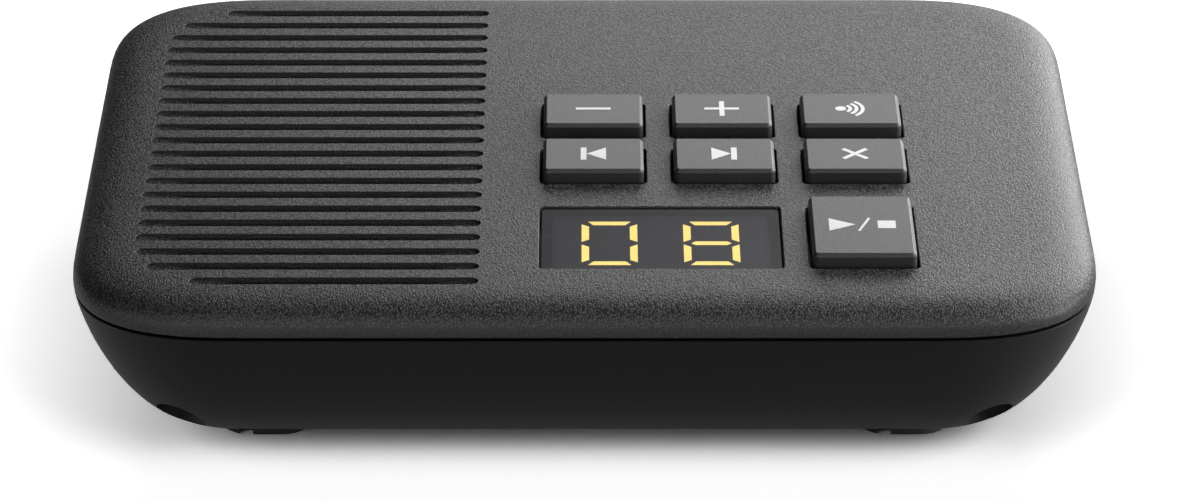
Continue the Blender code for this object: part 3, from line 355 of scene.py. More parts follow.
def arc_outline(inner, outer, half_turn, centre, middle_turn=0):
    """A curved bar about a point, its middle in the direction of middle_turn."""
    start = middle_turn - half_turn
    outside = arc_points(centre, outer, outer, start, 2 * half_turn, opening_steps * 2)
    return outside + arc_points(centre, inner, inner, start, 2 * half_turn, opening_steps * 2)[::-1]


def at_height(outline, z):
    return [(x, y, z) for x, y in outline]


def stacked(steps, centre):
    """Rings from (half_x, half_y, corner radius, z) steps of a rounded rectangle."""
    return [at_height(rounded_outline(a, b, radius, centre=centre), z) for a, b, radius, z in steps]


def body_ring(inset, z):
    """The body's outline drawn in by inset, at height z."""
    radius = max(corner_radius - inset, least_corner_radius)
    half_x = body_width / 2 - inset
    half_y = body_depth / 2 - inset
    return at_height(rounded_outline(half_x, half_y, radius, corner_exponent, corner_steps), z)


def bend(share, start_exponent, turn_exponent):
    """The share of a bend's inset that is used up, this share of the way along it."""
    left = max(0.0, 1 - share ** start_exponent)
    return 1 - left ** (1 / turn_exponent)


def bowl_fall(share):
    return bend(share, bowl_start_exponent, bowl_turn_exponent)


def bowl_inset_at(z):
    return bowl_inset * bowl_fall((split_z - z) / lower_height)


def eased(levels):
    """Shares from 0 to 1 that crowd together towards 1."""
    return [math.sin(math.pi / 2 * level / levels) for level in range(levels + 1)]


def edge_round(radius):
    """Steps (inset, drop) round an edge, from its side up to its top."""
    steps = []
    for step in range(round_steps + 1):
        turn = math.pi / 2 * step / round_steps
        steps.append((radius * (1 - math.cos(turn)), radius * (1 - math.sin(turn))))
    return steps


def edge_chamfer(width, ease):
    """Steps (inset, drop) over a chamfered edge whose two corners are eased, from the side up to the top."""
    along = ease * math.sqrt(0.5)
    near = (ease - along) / 4
    return [
        (0, width + ease), (along / 4, width + near), (along, width - along),
        (width - along, along), (width + near, along / 4), (width + ease, 0),
    ]


def rounded_rim(radius, face_z, side):
    """Steps (outset, z) of a tool that rounds a hole's rim and leaves by the face: up for 1, down for -1."""
    steps = [(outset, face_z - side * drop) for outset, drop in edge_round(radius)]
    steps[-1] = (radius, face_z + side * skim)
    return steps + [(radius, face_z + side * overrun)]


# Modelling

def deselect():
    bpy.ops.object.select_all(action="DESELECT")


def choose(piece):
    deselect()
    piece.select_set(True)
    bpy.context.view_layer.objects.active = piece


def begin(name, corners, fill):
    """A new piece in edit mode, with nothing but a circle."""
    deselect()
    bpy.ops.mesh.primitive_circle_add(vertices=corners, radius=1, fill_type=fill)
    piece = bpy.context.active_object
    piece.name = name
    piece.data.name = name
    bpy.ops.object.mode_set(mode="EDIT")
    return piece


def end(piece):
    """Turns the faces of the piece outwards and leaves edit mode."""
    bpy.ops.mesh.select_all(action="SELECT")
    bpy.ops.mesh.normals_make_consistent(inside=False)
    bpy.ops.object.mode_set(mode="OBJECT")
    return piece


def lay_face(piece, ring):
    """Moves the corners of the selected face onto the ring's points."""
    mesh = bmesh.from_edit_mesh(piece.data)
    face = next(face for face in mesh.faces if face.select)
    for corner, point in zip(face.verts, ring):
        corner.co = point
    bmesh.update_edit_mesh(piece.data)


def loft(name, rings):
    """A closed solid: a circle laid onto the first ring, and its face extruded onto each ring after it."""
    piece = begin(name, len(rings[0]), "NGON")
    lay_face(piece, rings[0])
    for ring in rings[1:]:
        bpy.ops.mesh.extrude_region_move(TRANSFORM_OT_translate={"value": (0, 0, 1)})
        lay_face(piece, ring)
    return end(piece)


def prism(name, outline, low, high):
    return loft(name, [at_height(outline, low), at_height(outline, high)])


def posts(name, places, radius, low, high):
    return [prism(name, circle(radius, place), low, high) for place in places]


def spun(name, profile, centre, steps=circle_steps):
    """A closed profile of (radius, z) points spun about a vertical axis."""
    piece = begin(name, len(profile), "NOTHING")
    mesh = bmesh.from_edit_mesh(piece.data)
    for corner, (radius, z) in zip(mesh.verts, profile):
        corner.co = (centre[0] + radius, centre[1], z)
    bmesh.update_edit_mesh(piece.data)
    bpy.ops.mesh.select_all(action="SELECT")
    bpy.ops.mesh.spin(steps=steps, angle=2 * math.pi, center=(centre[0], centre[1], 0), axis=(0, 0, 1))
    bpy.ops.mesh.select_all(action="SELECT")
    bpy.ops.mesh.remove_doubles(threshold=skim)
    bpy.ops.mesh.dissolve_degenerate(threshold=skim)
    return end(piece)


def merged(name, pieces):
    """Several separate pieces made one object."""
    deselect()
    for piece in pieces:
        piece.select_set(True)
    bpy.context.view_layer.objects.active = pieces[0]
    if len(pieces) > 1:
        bpy.ops.object.join()
    pieces[0].name = name
    return pieces[0]


def combine(piece, other, operation):
    choose(piece)
    modifier = piece.modifiers.new(operation.lower(), "BOOLEAN")
    modifier.operation = operation
    modifier.object = other
    bpy.ops.object.modifier_apply(modifier=modifier.name)
    bpy.data.objects.remove(other)


def cut(piece, tools):
    combine(piece, merged(piece.name + "_tool", tools), "DIFFERENCE")


def unite(piece, others):
    combine(piece, merged(piece.name + "_addition", others), "UNION")


def smooth(piece):
    """Smooth faces with crisp edges, and flats that stay flat beside their rounds."""
    choose(piece)
    bpy.ops.object.shade_smooth_by_angle(angle=edge_angle)
    modifier = piece.modifiers.new("flat_sides", "WEIGHTED_NORMAL")
    modifier.keep_sharp = True
    bpy.ops.object.modifier_apply(modifier=modifier.name)


def dress(piece, material):
    piece.data.materials.clear()
    piece.data.materials.append(material)


def settle(piece, slot, body, part):
    """Smooths and dresses a piece, and says what it rides on, what it replaces and which slot it has."""
    smooth(piece)
    dress(piece, finishes[slot])
    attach(piece, body)
    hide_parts(part)


# Finishes

# The cover's smooth band and its painted shade, and the painted shade on the walls of the top's openings
band_height = 0.00125
band_fade = 0.0001
band_grain_share = 0.1
band_shade_share = 0.35
opening_shade_depth = 0.0008
opening_wall_shade = 0.8
flat_facing = 0.9
steep_facing = 0.5
lit_colour = (1.0, 0.74, 0.2)
COLOURS = {item["slot"]: item["base_color"] for item in frame["record"]["materials"]}
COLOURS.update(symbol_paint=(0.97, 0.975, 0.98), floor_white=(0.8, 0.8, 0.8))
COLOURS.update(lit_segment=(0.6, 0.5, 0.24), unlit_segment=(0.022, 0.022, 0.021))

# Roughness, the grain's size and height, the spread of its painted shade (darker creases, lighter pebbles)
# and of its gloss, and 1 for a metal
GRAINS = {
    "cover_plastic": (0.5, 0.0002, 0.00005, 7.0, 0.2, 0),
    "case_plastic": (0.4, 0.0005, 0.000003, 0.12, 0.05, 0),
    "key_plastic": (0.42, 0.00017, 0.000016, 0.6, 0.08, 0),
    "symbol_paint": (0.45, 0.00012, 0.000002, 0.05, 0.08, 0),
    "window_plastic": (0.2, 0.004, 0.000001, 0.0, 0.04, 0),
    "display_plastic": (0.6, 0.0003, 0.000004, 0.12, 0.08, 0),
    "lit_segment": (0.5, 0.0009, 0.000002, 0.15, 0.08, 0),
    "unlit_segment": (0.5, 0.0004, 0.000002, 0.12, 0.08, 0),
    "rubber": (0.75, 0.0002, 0.00001, 0.2, 0.08, 0),
    "silicone": (0.5, 0.0004, 0.000004, 0.05, 0.08, 0),
    "board": (0.4, 0.0012, 0.000006, 0.2, 0.08, 0),
    "socket_plastic": (0.4, 0.0003, 0.000005, 0.2, 0.08, 0),
    "contact_metal": (0.25, 0.0003, 0.000002, 0.2, 0.08, 1),
    "shield_metal": (0.35, 0.0008, 0.000004, 0.2, 0.08, 1),
    "steel": (0.33, 0.0004, 0.000003, 0.2, 0.08, 1),
    "magnet": (0.3, 0.0005, 0.000003, 0.2, 0.08, 1),
    "copper": (0.33, 0.00015, 0.000008, 0.2, 0.08, 1),
    "chip_plastic": (0.52, 0.0002, 0.000006, 0.2, 0.08, 0),
    "cone_paper": (0.88, 0.0006, 0.00004, 0.8, 0.08, 0),
    "foam": (0.95, 0.0003, 0.00006, 0.8, 0.08, 0),
    "red_lead": (0.45, 0.0006, 0.000004, 0.2, 0.08, 0),
    "black_lead": (0.45, 0.0006, 0.000004, 0.2, 0.08, 0),
    "capacitor_sleeve": (0.32, 0.0006, 0.000004, 0.2, 0.08, 0),
}

# What else some finishes set on their shader
SHADER_VALUES = {
    "case_plastic": {"Specular IOR Level": 0.06},
    "symbol_paint": {"Specular IOR Level": 0.8},
    "window_plastic": {"Specular IOR Level": 0.12, "Alpha": 0.55},
    "lit_segment": {"Emission Strength": 5.0},
    "cloth": {"Sheen Weight": 0.3},
    "floor_white": {"Specular IOR Level": 0.0},
}


def node(tree, kind, settings=None, **inputs):
    made = tree.nodes.new(kind)
    for label, value in (settings or {}).items():
        setattr(made, label, value)
    for label, value in inputs.items():
        made.inputs[label.replace("_", " ")].default_value = value
    return made


def maths(tree, operation, first, second, clamp=False):
    made = node(tree, "ShaderNodeMath", {"operation": operation, "use_clamp": clamp})
    for socket, value in zip(made.inputs, (first, second)):
        if isinstance(value, (int, float)):
            socket.default_value = value
        else:
            tree.links.new(value, socket)
    return made.outputs[0]


def remap(tree, value, from_low, from_high, to_low, to_high):
    ends = {"From_Min": from_low, "From_Max": from_high, "To_Min": to_low, "To_Max": to_high}
    made = node(tree, "ShaderNodeMapRange", None, **ends)
    tree.links.new(value, made.inputs["Value"])
    return made.outputs["Result"]


def split_axes(tree, vector):
    """The outputs X, Y and Z of a vector."""
    split = node(tree, "ShaderNodeSeparateXYZ")
    tree.links.new(vector, split.inputs["Vector"])
    return split.outputs


def new_group(name, inputs, outputs):
    group = bpy.data.node_groups.new(name, "ShaderNodeTree")
    for label, value in inputs.items():
        socket = group.interface.new_socket(name=label, in_out="INPUT", socket_type="NodeSocketFloat")
        socket.default_value = value
    for label in outputs:
        group.interface.new_socket(name=label, in_out="OUTPUT", socket_type="NodeSocketFloat")
    return group, group.nodes.new("NodeGroupInput"), group.nodes.new("NodeGroupOutput")


def moulded_grain_group():
    """A fine leather-like grain: low pebbles with creases between them, with painted shade that makes the
    creases darker and the pebbles lighter.
    """
    depth_frequency_share = 0.65
    crease_frequency_share = 1.5
    drift_share = 0.2
    least_tone = 0.1
    group, given, result = new_group(
        "moulded_grain",
        {"Frequency": 4000.0, "Painted Shade Spread": 0.1, "Roughness": 0.5, "Roughness Spread": 0.06},
        ("Height", "Tone", "Roughness"),
    )
    links = group.links
    laid = node(group, "ShaderNodeMapping", {"vector_type": "POINT"}, Scale=(1.0, depth_frequency_share, 1.0))
    links.new(group.nodes.new("ShaderNodeTexCoord").outputs["Object"], laid.inputs["Vector"])
    pebbles = node(group, "ShaderNodeTexVoronoi", {"feature": "SMOOTH_F1"}, Smoothness=0.5, Randomness=1.0)
    creases = node(group, "ShaderNodeTexNoise", None, Detail=1.0, Roughness=0.5)
    drift = node(group, "ShaderNodeTexNoise", None, Scale=45.0, Detail=3.0, Roughness=0.55)
    for pattern in (pebbles, creases, drift):
        links.new(laid.outputs["Vector"], pattern.inputs["Vector"])
    frequency = given.outputs["Frequency"]
    links.new(frequency, pebbles.inputs["Scale"])
    links.new(maths(group, "MULTIPLY", frequency, crease_frequency_share), creases.inputs["Scale"])
    domes = maths(group, "SUBTRACT", 0.5, pebbles.outputs["Distance"])
    ripples = maths(group, "SUBTRACT", creases.outputs["Fac"], 0.5)
    height = maths(group, "ADD", domes, ripples)
    links.new(height, result.inputs["Height"])
    slow = maths(group, "MULTIPLY", maths(group, "SUBTRACT", drift.outputs["Fac"], 0.5), drift_share)
    # Painted shade and light: the grain is darker in its creases and lighter on its pebbles' tops, by its
    # height.
    fine = maths(group, "MULTIPLY", height, given.outputs["Painted Shade Spread"])
    tone = maths(group, "ADD", 1.0, maths(group, "ADD", fine, slow))
    links.new(maths(group, "MAXIMUM", tone, least_tone), result.inputs["Tone"])
    rough = maths(group, "MULTIPLY", maths(group, "ADD", ripples, slow), given.outputs["Roughness Spread"])
    links.new(maths(group, "ADD", given.outputs["Roughness"], rough), result.inputs["Roughness"])
    return group


def new_material(name, roughness, metallic=0.0):
    material = bpy.data.materials.new(name)
    material.use_nodes = True
    material.diffuse_color = (*COLOURS[name], 1.0)
    shader = material.node_tree.nodes["Principled BSDF"]
    shader.inputs["Base Color"].default_value = (*COLOURS[name], 1.0)
    shader.inputs["Roughness"].default_value = roughness
    shader.inputs["Metallic"].default_value = metallic
    for label, value in SHADER_VALUES.get(name, {}).items():
        shader.inputs[label].default_value = value
    return material, material.node_tree, shader


def tinted(tree, colour, tone):
    """A colour made lighter and darker by a tone round 1."""
    made = node(tree, "ShaderNodeMix", {"data_type": "RGBA", "blend_type": "MULTIPLY"})
    made.inputs["Factor"].default_value = 1.0
    made.inputs["A"].default_value = (*colour, 1.0)
    tree.links.new(tone, made.inputs["B"])
    return made.outputs["Result"]


def grained(name):
    """A moulded or cast finish, with painted shade in its grain's creases, and a little drift in tone and
    gloss.
    """
    roughness, grain_size, grain_height, tone, spread, metallic = GRAINS[name]
    material, tree, shader = new_material(name, roughness, metallic)
    grain = node(tree, "ShaderNodeGroup", {"node_tree": bpy.data.node_groups["moulded_grain"]})
    grain.inputs["Frequency"].default_value = 1 / grain_size
    grain.inputs["Painted Shade Spread"].default_value = tone
    grain.inputs["Roughness"].default_value = roughness
    grain.inputs["Roughness Spread"].default_value = spread
    bump = node(tree, "ShaderNodeBump", None, Strength=1.0, Distance=grain_height)
    tree.links.new(grain.outputs["Height"], bump.inputs["Height"])
    tree.links.new(tinted(tree, COLOURS[name], grain.outputs["Tone"]), shader.inputs["Base Color"])
    tree.links.new(grain.outputs["Roughness"], shader.inputs["Roughness"])
    tree.links.new(bump.outputs["Normal"], shader.inputs["Normal"])
    return material, tree, shader, grain, bump


def finish_cover(tree, shader, grain, bump):
    """A smooth band above the split line with painted shade, and painted shade on the walls in the openings
    of the top.
    """
    place = split_axes(tree, node(tree, "ShaderNodeTexCoord").outputs["Object"])
    band_z = split_z + band_height
    above = remap(tree, place["Z"], band_z - band_fade, band_z + band_fade, band_grain_share, 1.0)
    tree.links.new(maths(tree, "MULTIPLY", grain.outputs["Height"], above), bump.inputs["Height"])
    # Painted shade: the smooth band above the split line is made darker.
    band_shade = remap(tree, above, band_grain_share, 1.0, band_shade_share, 1.0)
    tone = maths(tree, "MULTIPLY", grain.outputs["Tone"], band_shade)
    # Painted shade: steep walls just below the top, in the slots and openings, are made darker.
    facing = split_axes(tree, node(tree, "ShaderNodeNewGeometry").outputs["True Normal"])
    steep = remap(tree, facing["Z"], flat_facing, steep_facing, 0.0, opening_wall_shade)
    wall_foot = top_z - opening_shade_depth
    near_top = remap(tree, place["Z"], wall_foot - band_fade, wall_foot, 0.0, 1.0)
    shade = maths(tree, "MULTIPLY", steep, near_top)
    tone = maths(tree, "MULTIPLY", tone, maths(tree, "SUBTRACT", 1.0, shade))
    tree.links.new(tinted(tree, COLOURS["cover_plastic"], tone), shader.inputs["Base Color"])


def finish_lit_bar(tree, shader, grain):
    """A light of its own for a bar of the display, with a slow change in brightness along it."""
    tree.links.new(tinted(tree, lit_colour, grain.outputs["Tone"]), shader.inputs["Emission Color"])


def cloth_finish():
    """A plain weave: threads along X and Y that lift each other, with painted shade in the valleys and
    painted highlight on the crests.
    """
    roughness = 0.95
    valley_shade = 0.5
    crest_highlight = 1.6
    material, tree, shader = new_material("cloth", roughness)
    place = split_axes(tree, node(tree, "ShaderNodeTexCoord").outputs["Object"])
    turn = 2 * math.pi / thread_pitch
    warp = maths(tree, "SINE", maths(tree, "MULTIPLY", place["X"], turn), 0.0)
    weft = maths(tree, "SINE", maths(tree, "MULTIPLY", place["Y"], turn), 0.0)
    lift = maths(tree, "ABSOLUTE", maths(tree, "ADD", warp, weft), 0.0)
    bump = node(tree, "ShaderNodeBump", None, Strength=0.6, Distance=thread_height)
    tree.links.new(lift, bump.inputs["Height"])
    tree.links.new(bump.outputs["Normal"], shader.inputs["Normal"])
    # Painted shade and highlight: the weave is darker in its valleys and lighter on its crests.
    tone = remap(tree, lift, 0.0, 2.0, valley_shade, crest_highlight)
    tree.links.new(tinted(tree, COLOURS["cloth"], tone), shader.inputs["Base Color"])
    return material


def all_finishes():
    """Every finish by its name: the slots' own, the symbols' paint and the display's bars."""
    moulded_grain_group()
    made = {"cloth": cloth_finish()}
    for name in GRAINS:
        made[name], tree, shader, grain, bump = grained(name)
        if name == "cover_plastic":
            finish_cover(tree, shader, grain, bump)
        if name == "lit_segment":
            finish_lit_bar(tree, shader, grain)
    return made


finishes = all_finishes()


# Upper shell

def tongue_inset():
    return shell_wall + seat_gap + bowl_inset_at(split_z - tongue_depth)


def cover_rings():
    """From the tongue's foot, round the lower edge and over the shoulder to the flat top."""
    rings = [body_ring(tongue_inset(), split_z - tongue_depth), body_ring(tongue_inset(), split_z)]
    for inset, drop in reversed(edge_round(rim_round)):
        rings.append(body_ring(inset, split_z + drop))
    start = rim_round / cover_rise
    for share in eased(shoulder_levels):
        if share > start:
            fall = bend(share, shoulder_start_exponent, shoulder_turn_exponent)
            rings.append(body_ring(shoulder_inset * fall, split_z + cover_rise * share))
    return rings


def cover_cavity():
    inset = tongue_inset() + tongue_thickness
    steps = [
        (inset, split_z - tongue_depth - overrun), (inset, ceiling_z - ceiling_round),
        (inset + ceiling_round, ceiling_z),
    ]
    return loft("cavity", [body_ring(*step) for step in steps])


def flat_edge_x(y):
    """How far the flat top reaches along X at this distance from the middle."""
    along = abs(y) - (flat_half_depth - flat_corner_radius)
    if along <= 0:
        return flat_half_width
    left = max(0.0, 1 - (along / flat_corner_radius) ** corner_exponent)
    return flat_half_width - flat_corner_radius + flat_corner_radius * left ** (1 / corner_exponent)


def slot_tool(left, right, y):
    """A slot with a rounded rim: a shallow dish at both ends, and a boat-shaped hole in between."""
    half = slot_width / 2
    keel = half - slot_keel_narrowing
    hole = slot_outline(left + slot_bow_inset, right - slot_bow_inset, y, keel, slot_bow_length)
    dish_z = top_z - slot_rim - slot_tip_depth
    rings = [at_height(hole, z) for z in (ceiling_z - overrun, dish_z - slot_tip_fall)]
    for outset, z in [(0, dish_z)] + rounded_rim(slot_rim, top_z, 1):
        rings.append(at_height(slot_outline(left - outset, right + outset, y, half + outset), z))
    return loft("slot_tool", rings)


def opening_tool(centre, half_x, half_y):
    """A rounded opening through the top, with a rounded rim."""
    steps = []
    for outset, z in [(0, ceiling_z - overrun)] + rounded_rim(rim_flare, top_z, 1):
        steps.append((half_x + outset, half_y + outset, opening_corner_radius + outset, z))
    return loft("opening_tool", stacked(steps, centre))


def key_opening(name):
    """The middle and half sizes of a key's opening, worked out from its flange."""
    half = half_of(name + "_key")
    return place_of(name + "_key"), half.x - key_flange_overlap, half.y - key_flange_overlap


def window_opening():
    half = half_of("display_window")
    return place_of("display_window"), half.x - window_flange_overlap, half.y - window_flange_overlap


def speaker_bars(inner, outer, half_turn, top):
    """Three curved bars round the speaker, from the foot of the hooks under its flange up to this height."""
    centre = place_of("speaker_frame")
    outlines = [arc_outline(inner, outer, half_turn, centre, turn) for turn in holder_turns]
    return [prism("holder", outline, hook_top_z - hook_height, top) for outline in outlines]


def cover_bosses(top):
    """Round posts for the screws, up to this height inside the top."""
    board_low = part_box("key_board")[1].z + seat_gap
    bosses = posts("boss", corner_places(), cover_boss_radius, ledge_top_z + seat_gap, top)
    return bosses + posts("boss", board_places("key_board"), board_boss_radius, board_low, top)


def cover_openings():
    """What is cut out of the top: the grille's slots, the keys' openings, the window and the screw holes."""
    side = math.floor((flat_half_depth - slot_margin) / slot_pitch)
    (first_x, _), first_half_x, _ = key_opening("volume_down")
    right = first_x - first_half_x - grille_key_gap
    rows = [row * slot_pitch for row in range(-side, side + 1)]
    tools = [slot_tool(-flat_edge_x(y), right, y) for y in rows]
    tools += [opening_tool(*key_opening(name)) for name in KEY_NAMES]
    tools.append(opening_tool(*window_opening()))
    radius = cover_boss_radius - tongue_thickness
    return tools + posts("hole", corner_places(), radius, ledge_top_z - overrun, ceiling_z - ceiling_round)


def build_cover():
    cover = loft("cover_shell", cover_rings())
    cut(cover, [cover_cavity()])
    top = ceiling_z + cover_thickness / 2
    radius = half_of("speaker_frame").x
    holder = radius + holder_gap
    unite(cover, cover_bosses(top) + speaker_bars(holder, holder + holder_wall, holder_half_turn, top))
    unite(cover, speaker_bars(radius - hook_reach, holder + holder_wall / 2, hook_half_turn, hook_top_z))
    cut(cover, cover_openings())
    settle(cover, "cover_plastic", "housing", "top_cover")


# Lower shell

def case_rings():
    """From the bowl's flat bottom up to the rim, and round the rim's edge."""
    levels = [rim_z - (rim_z - base_z) * share for share in reversed(eased(bowl_levels))]
    rings = [body_ring(bowl_inset_at(z), z) for z in levels if z < rim_z - rim_round]
    for inset, drop in edge_round(rim_round):
        z = rim_z - drop
        rings.append(body_ring(bowl_inset_at(z) + inset, z))
    return rings


def bay_face():
    """How far back the bay's wall stands, at the sockets' mouths."""
    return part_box("line_jack")[1].y + seat_gap + shell_wall


def bay_block(name, wall, roof):
    """The bay under the rear edge, made larger by a wall and a roof."""
    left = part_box("line_jack")[0].x - bay_margin
    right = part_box("power_jack")[1].x + bay_margin
    front = bay_face() - wall
    half_y = (body_depth / 2 + overrun - front) / 2
    outline = rectangle((right - left) / 2 + wall, half_y, ((left + right) / 2, front + half_y))
    ceiling = split_z - tongue_depth - seat_gap - bay_roof
    return prism(name, outline, base_z - overrun, ceiling + roof)


def case_cavity():
    """The hollow of the bowl, less the walls round the bay and the wells and the posts of the main board."""
    reach = split_z - floor_z
    rings = [body_ring(shell_wall, split_z + overrun)]
    for share in eased(inner_bowl_levels):
        inset = shell_wall + bowl_inset * inner_bowl_share * bowl_fall(share)
        rings.append(body_ring(inset, split_z - reach * share))
    cavity = loft("cavity", list(reversed(rings)))
    low = base_z - overrun
    walls = [bay_block("bay_wall", shell_wall, bay_roof)]
    walls += posts("well_wall", corner_places(), well_radius + well_wall, low, ledge_top_z)
    walls += posts("post", board_places("main_board"), post_radius, low, floor_z + post_height)
    cut(cavity, walls)
    return cavity


def well_tool(place):
    """A screw well up to its ledge, with a rounded mouth."""
    steps = [(0, ledge_z)] + rounded_rim(well_mouth_round, base_z, -1)
    return loft("well", [at_height(circle(well_radius + outset, place), z) for outset, z in steps])


def foot_seat(name):
    half = half_of(name + "_foot").x + seat_gap
    outline = rounded_outline(half, half, foot_corner_radius, centre=place_of(name + "_foot"))
    return prism("seat", outline, base_z - overrun, base_z + foot_seat_depth)


def label_tool():
    outline = rounded_outline(label_width / 2, label_depth / 2, label_corner_radius)
    return prism("label_recess", outline, base_z - overrun, base_z + label_recess)


def case_screw_holes():
    holes = posts("hole", corner_places(), case_screw_hole, ledge_z - overrun, ledge_top_z + overrun)
    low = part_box("main_board")[1].z + seat_gap - board_screw_reach
    high = floor_z + post_height + overrun
    return holes + posts("hole", board_places("main_board"), board_screw_hole, low, high)


def socket_mouth(jack, width, height):
    """The hole in the bay's wall in front of a socket."""
    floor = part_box(jack)[0].z + socket_floor
    centre = (middle_of(jack).x, bay_face() - shell_wall / 2)
    outline = rectangle(width / 2 + seat_gap, shell_wall / 2 + overrun, centre)
    return prism("mouth", outline, floor - mouth_drop - seat_gap, floor + height + seat_gap)


def build_case():
    case = loft("case_shell", case_rings())
    cut(case, [case_cavity()])
    tools = [well_tool(place) for place in corner_places()] + [foot_seat(name) for name in FOOT_NAMES]
    cut(case, tools + [label_tool(), bay_block("bay", 0, 0)])
    cut(case, case_screw_holes())
    line_mouth = socket_mouth("line_jack", line_mouth_width, line_mouth_height)
    cut(case, [line_mouth, socket_mouth("power_jack", power_mouth_width, power_mouth_height)])
    settle(case, "case_plastic", "housing", "bottom_case")


def build_feet():
    for name in FOOT_NAMES:
        low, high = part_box(name + "_foot")
        x, y = place_of(name + "_foot")
        half = half_of(name + "_foot").x
        steps = []
        for inset, drop in reversed(edge_round(foot_edge_round)):
            steps.append((half - inset, half - inset, foot_corner_radius - inset, low.z + drop))
        steps.append((half, half, foot_corner_radius, high.z))
        foot = loft(name + "_pad", stacked(steps, (x, y)))
        outline = rectangle(foot_notch_width / 2, foot_notch_depth, (x - foot_notch_offset, y - half))
        cut(foot, [prism("notch", outline, -overrun, base_z)])
        settle(foot, "rubber", "housing", name + "_foot")


# Keys

def key_rings(name):
    low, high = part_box(name + "_key")
    centre, open_x, open_y = key_opening(name)
    half_x = open_x - key_side_gap
    half_y = open_y - key_front_gap
    flange_x = open_x + key_flange_overlap
    flange_y = open_y + key_flange_overlap
    flange_top = ceiling_z - seat_gap
    flange_low = flange_top - key_flange_thickness
    plunger = key_plunger_width / 2
    steps = [
        (plunger, plunger, key_corner_radius, low.z),
        (plunger, plunger, key_corner_radius, flange_low),
        (flange_x, flange_y, key_corner_radius, flange_low),
        (flange_x, flange_y, key_corner_radius, flange_top),
        (half_x, half_y, key_corner_radius, flange_top),
    ]
    for inset, drop in edge_chamfer(key_chamfer, key_edge_ease):
        steps.append((half_x - inset, half_y - inset, key_corner_radius - inset, high.z - drop))
    return stacked(steps, centre)


def play_triangle(left, length, half_height):
    return [(left, -half_height), (left + length, 0), (left, half_height)]


def symbol_outlines(name):
    """The flat outlines of each key's symbol, about the key's middle."""
    if name == "volume_down":
        return [rectangle(minus_length / 2, bar_width / 2)]
    if name == "volume_up":
        return [rectangle(plus_length / 2, bar_width / 2), rectangle(bar_width / 2, plus_height / 2)]
    if name == "paging":
        centre = (wave_start, 0)
        starts = [wave_first_radius + wave_pitch * number for number in range(wave_count)]
        bands = [arc_outline(start, start + wave_width, wave_half_turn, centre) for start in starts]
        return [circle(wave_dot_radius, centre, opening_steps * 4)] + bands
    if name in ("previous", "next"):
        side = 1 if name == "next" else -1
        half = (triangle_length + skip_bar_width) / 2
        triangle = play_triangle(-half * side, triangle_length * side, triangle_half_height)
        bar = rectangle(skip_bar_width / 2, triangle_half_height, ((half - skip_bar_width / 2) * side, 0))
        return [triangle, bar]
    if name == "delete":
        bar = rectangle(cross_length / 2, cross_width / 2)
        return [turned(bar, math.radians(45)), turned(bar, math.radians(135))]
    slash = [
        (slash_left, -slash_half_height), (slash_left + slash_width, -slash_half_height),
        (slash_right, slash_half_height), (slash_right - slash_width, slash_half_height),
    ]
    stop = rectangle(stop_side / 2, stop_side / 2, (stop_left + stop_side / 2, 0))
    return [play_triangle(play_left, play_length, play_half_height), slash, stop]


def build_keys():
    for name in KEY_NAMES:
        settle(loft(name + "_cap", key_rings(name)), "key_plastic", name + "_press", name + "_key")
        face_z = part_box(name + "_key")[1].z
        marks = []
        for outline in symbol_outlines(name):
            placed = moved(outline, place_of(name + "_key"))
            marks.append(prism("mark", placed, face_z - mark_sink, face_z + mark_thickness))
        mark = marks[0]
        mark.name = name + "_symbol"
        for other in marks[1:]:
            unite(mark, [other])
        dress(mark, finishes["symbol_paint"])
        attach(mark, name + "_press")


# Window and display

def build_window():
    centre, open_x, open_y = window_opening()
    plate_x = open_x - window_gap
    plate_y = open_y - window_gap
    pocket_x = plate_x - display_margin
    pocket_y = plate_y - display_margin / 2
    flange_x = open_x + window_flange_overlap
    flange_y = open_y + window_flange_overlap
    surface_z = top_z - window_recess
    flange_top = ceiling_z - seat_gap
    flange_low = flange_top - window_flange_thickness
    steps = [
        (pocket_x, pocket_y, surface_z - window_thickness),
        (pocket_x, pocket_y, flange_low),
        (flange_x, flange_y, flange_low),
        (flange_x, flange_y, flange_top),
        (plate_x, plate_y, flange_top),
    ]
    for inset, drop in edge_round(window_edge_round):
        steps.append((plate_x - inset, plate_y - inset, surface_z - drop))
    lens = loft("window_lens", stacked([(a, b, opening_corner_radius, z) for a, b, z in steps], centre))
    settle(lens, "window_plastic", "housing", "display_window")


def digit_outlines(centre):
    """Seven bars with slanted ends, as on a figure eight: the middle bar comes first."""
    half_w = digit_width / 2
    half_h = digit_height / 2
    flat = [
        (half_w - bar_outer_inset, half_h),
        (bar_outer_inset - half_w, half_h),
        (bar_inner_inset - half_w, half_h - flat_bar_width),
        (half_w - bar_inner_inset, half_h - flat_bar_width),
    ]
    upright = [
        (half_w, middle_outer_gap),
        (half_w, half_h - bar_outer_inset),
        (half_w - upright_bar_width, half_h - bar_inner_inset),
        (half_w - upright_bar_width, middle_inner_gap),
    ]
    reach = half_w - upright_bar_width - middle_bar_gap
    half = flat_bar_width / 2
    middle = [(reach, 0), (reach - half, half), (half - reach, half)]
    outlines = [middle + mirrored(middle, -1, -1), flat, mirrored(flat, -1, -1)]
    for across, along in ((1, 1), (-1, -1), (-1, 1), (1, -1)):
        outlines.append(mirrored(upright, across, along))
    return [moved(outline, centre) for outline in outlines]


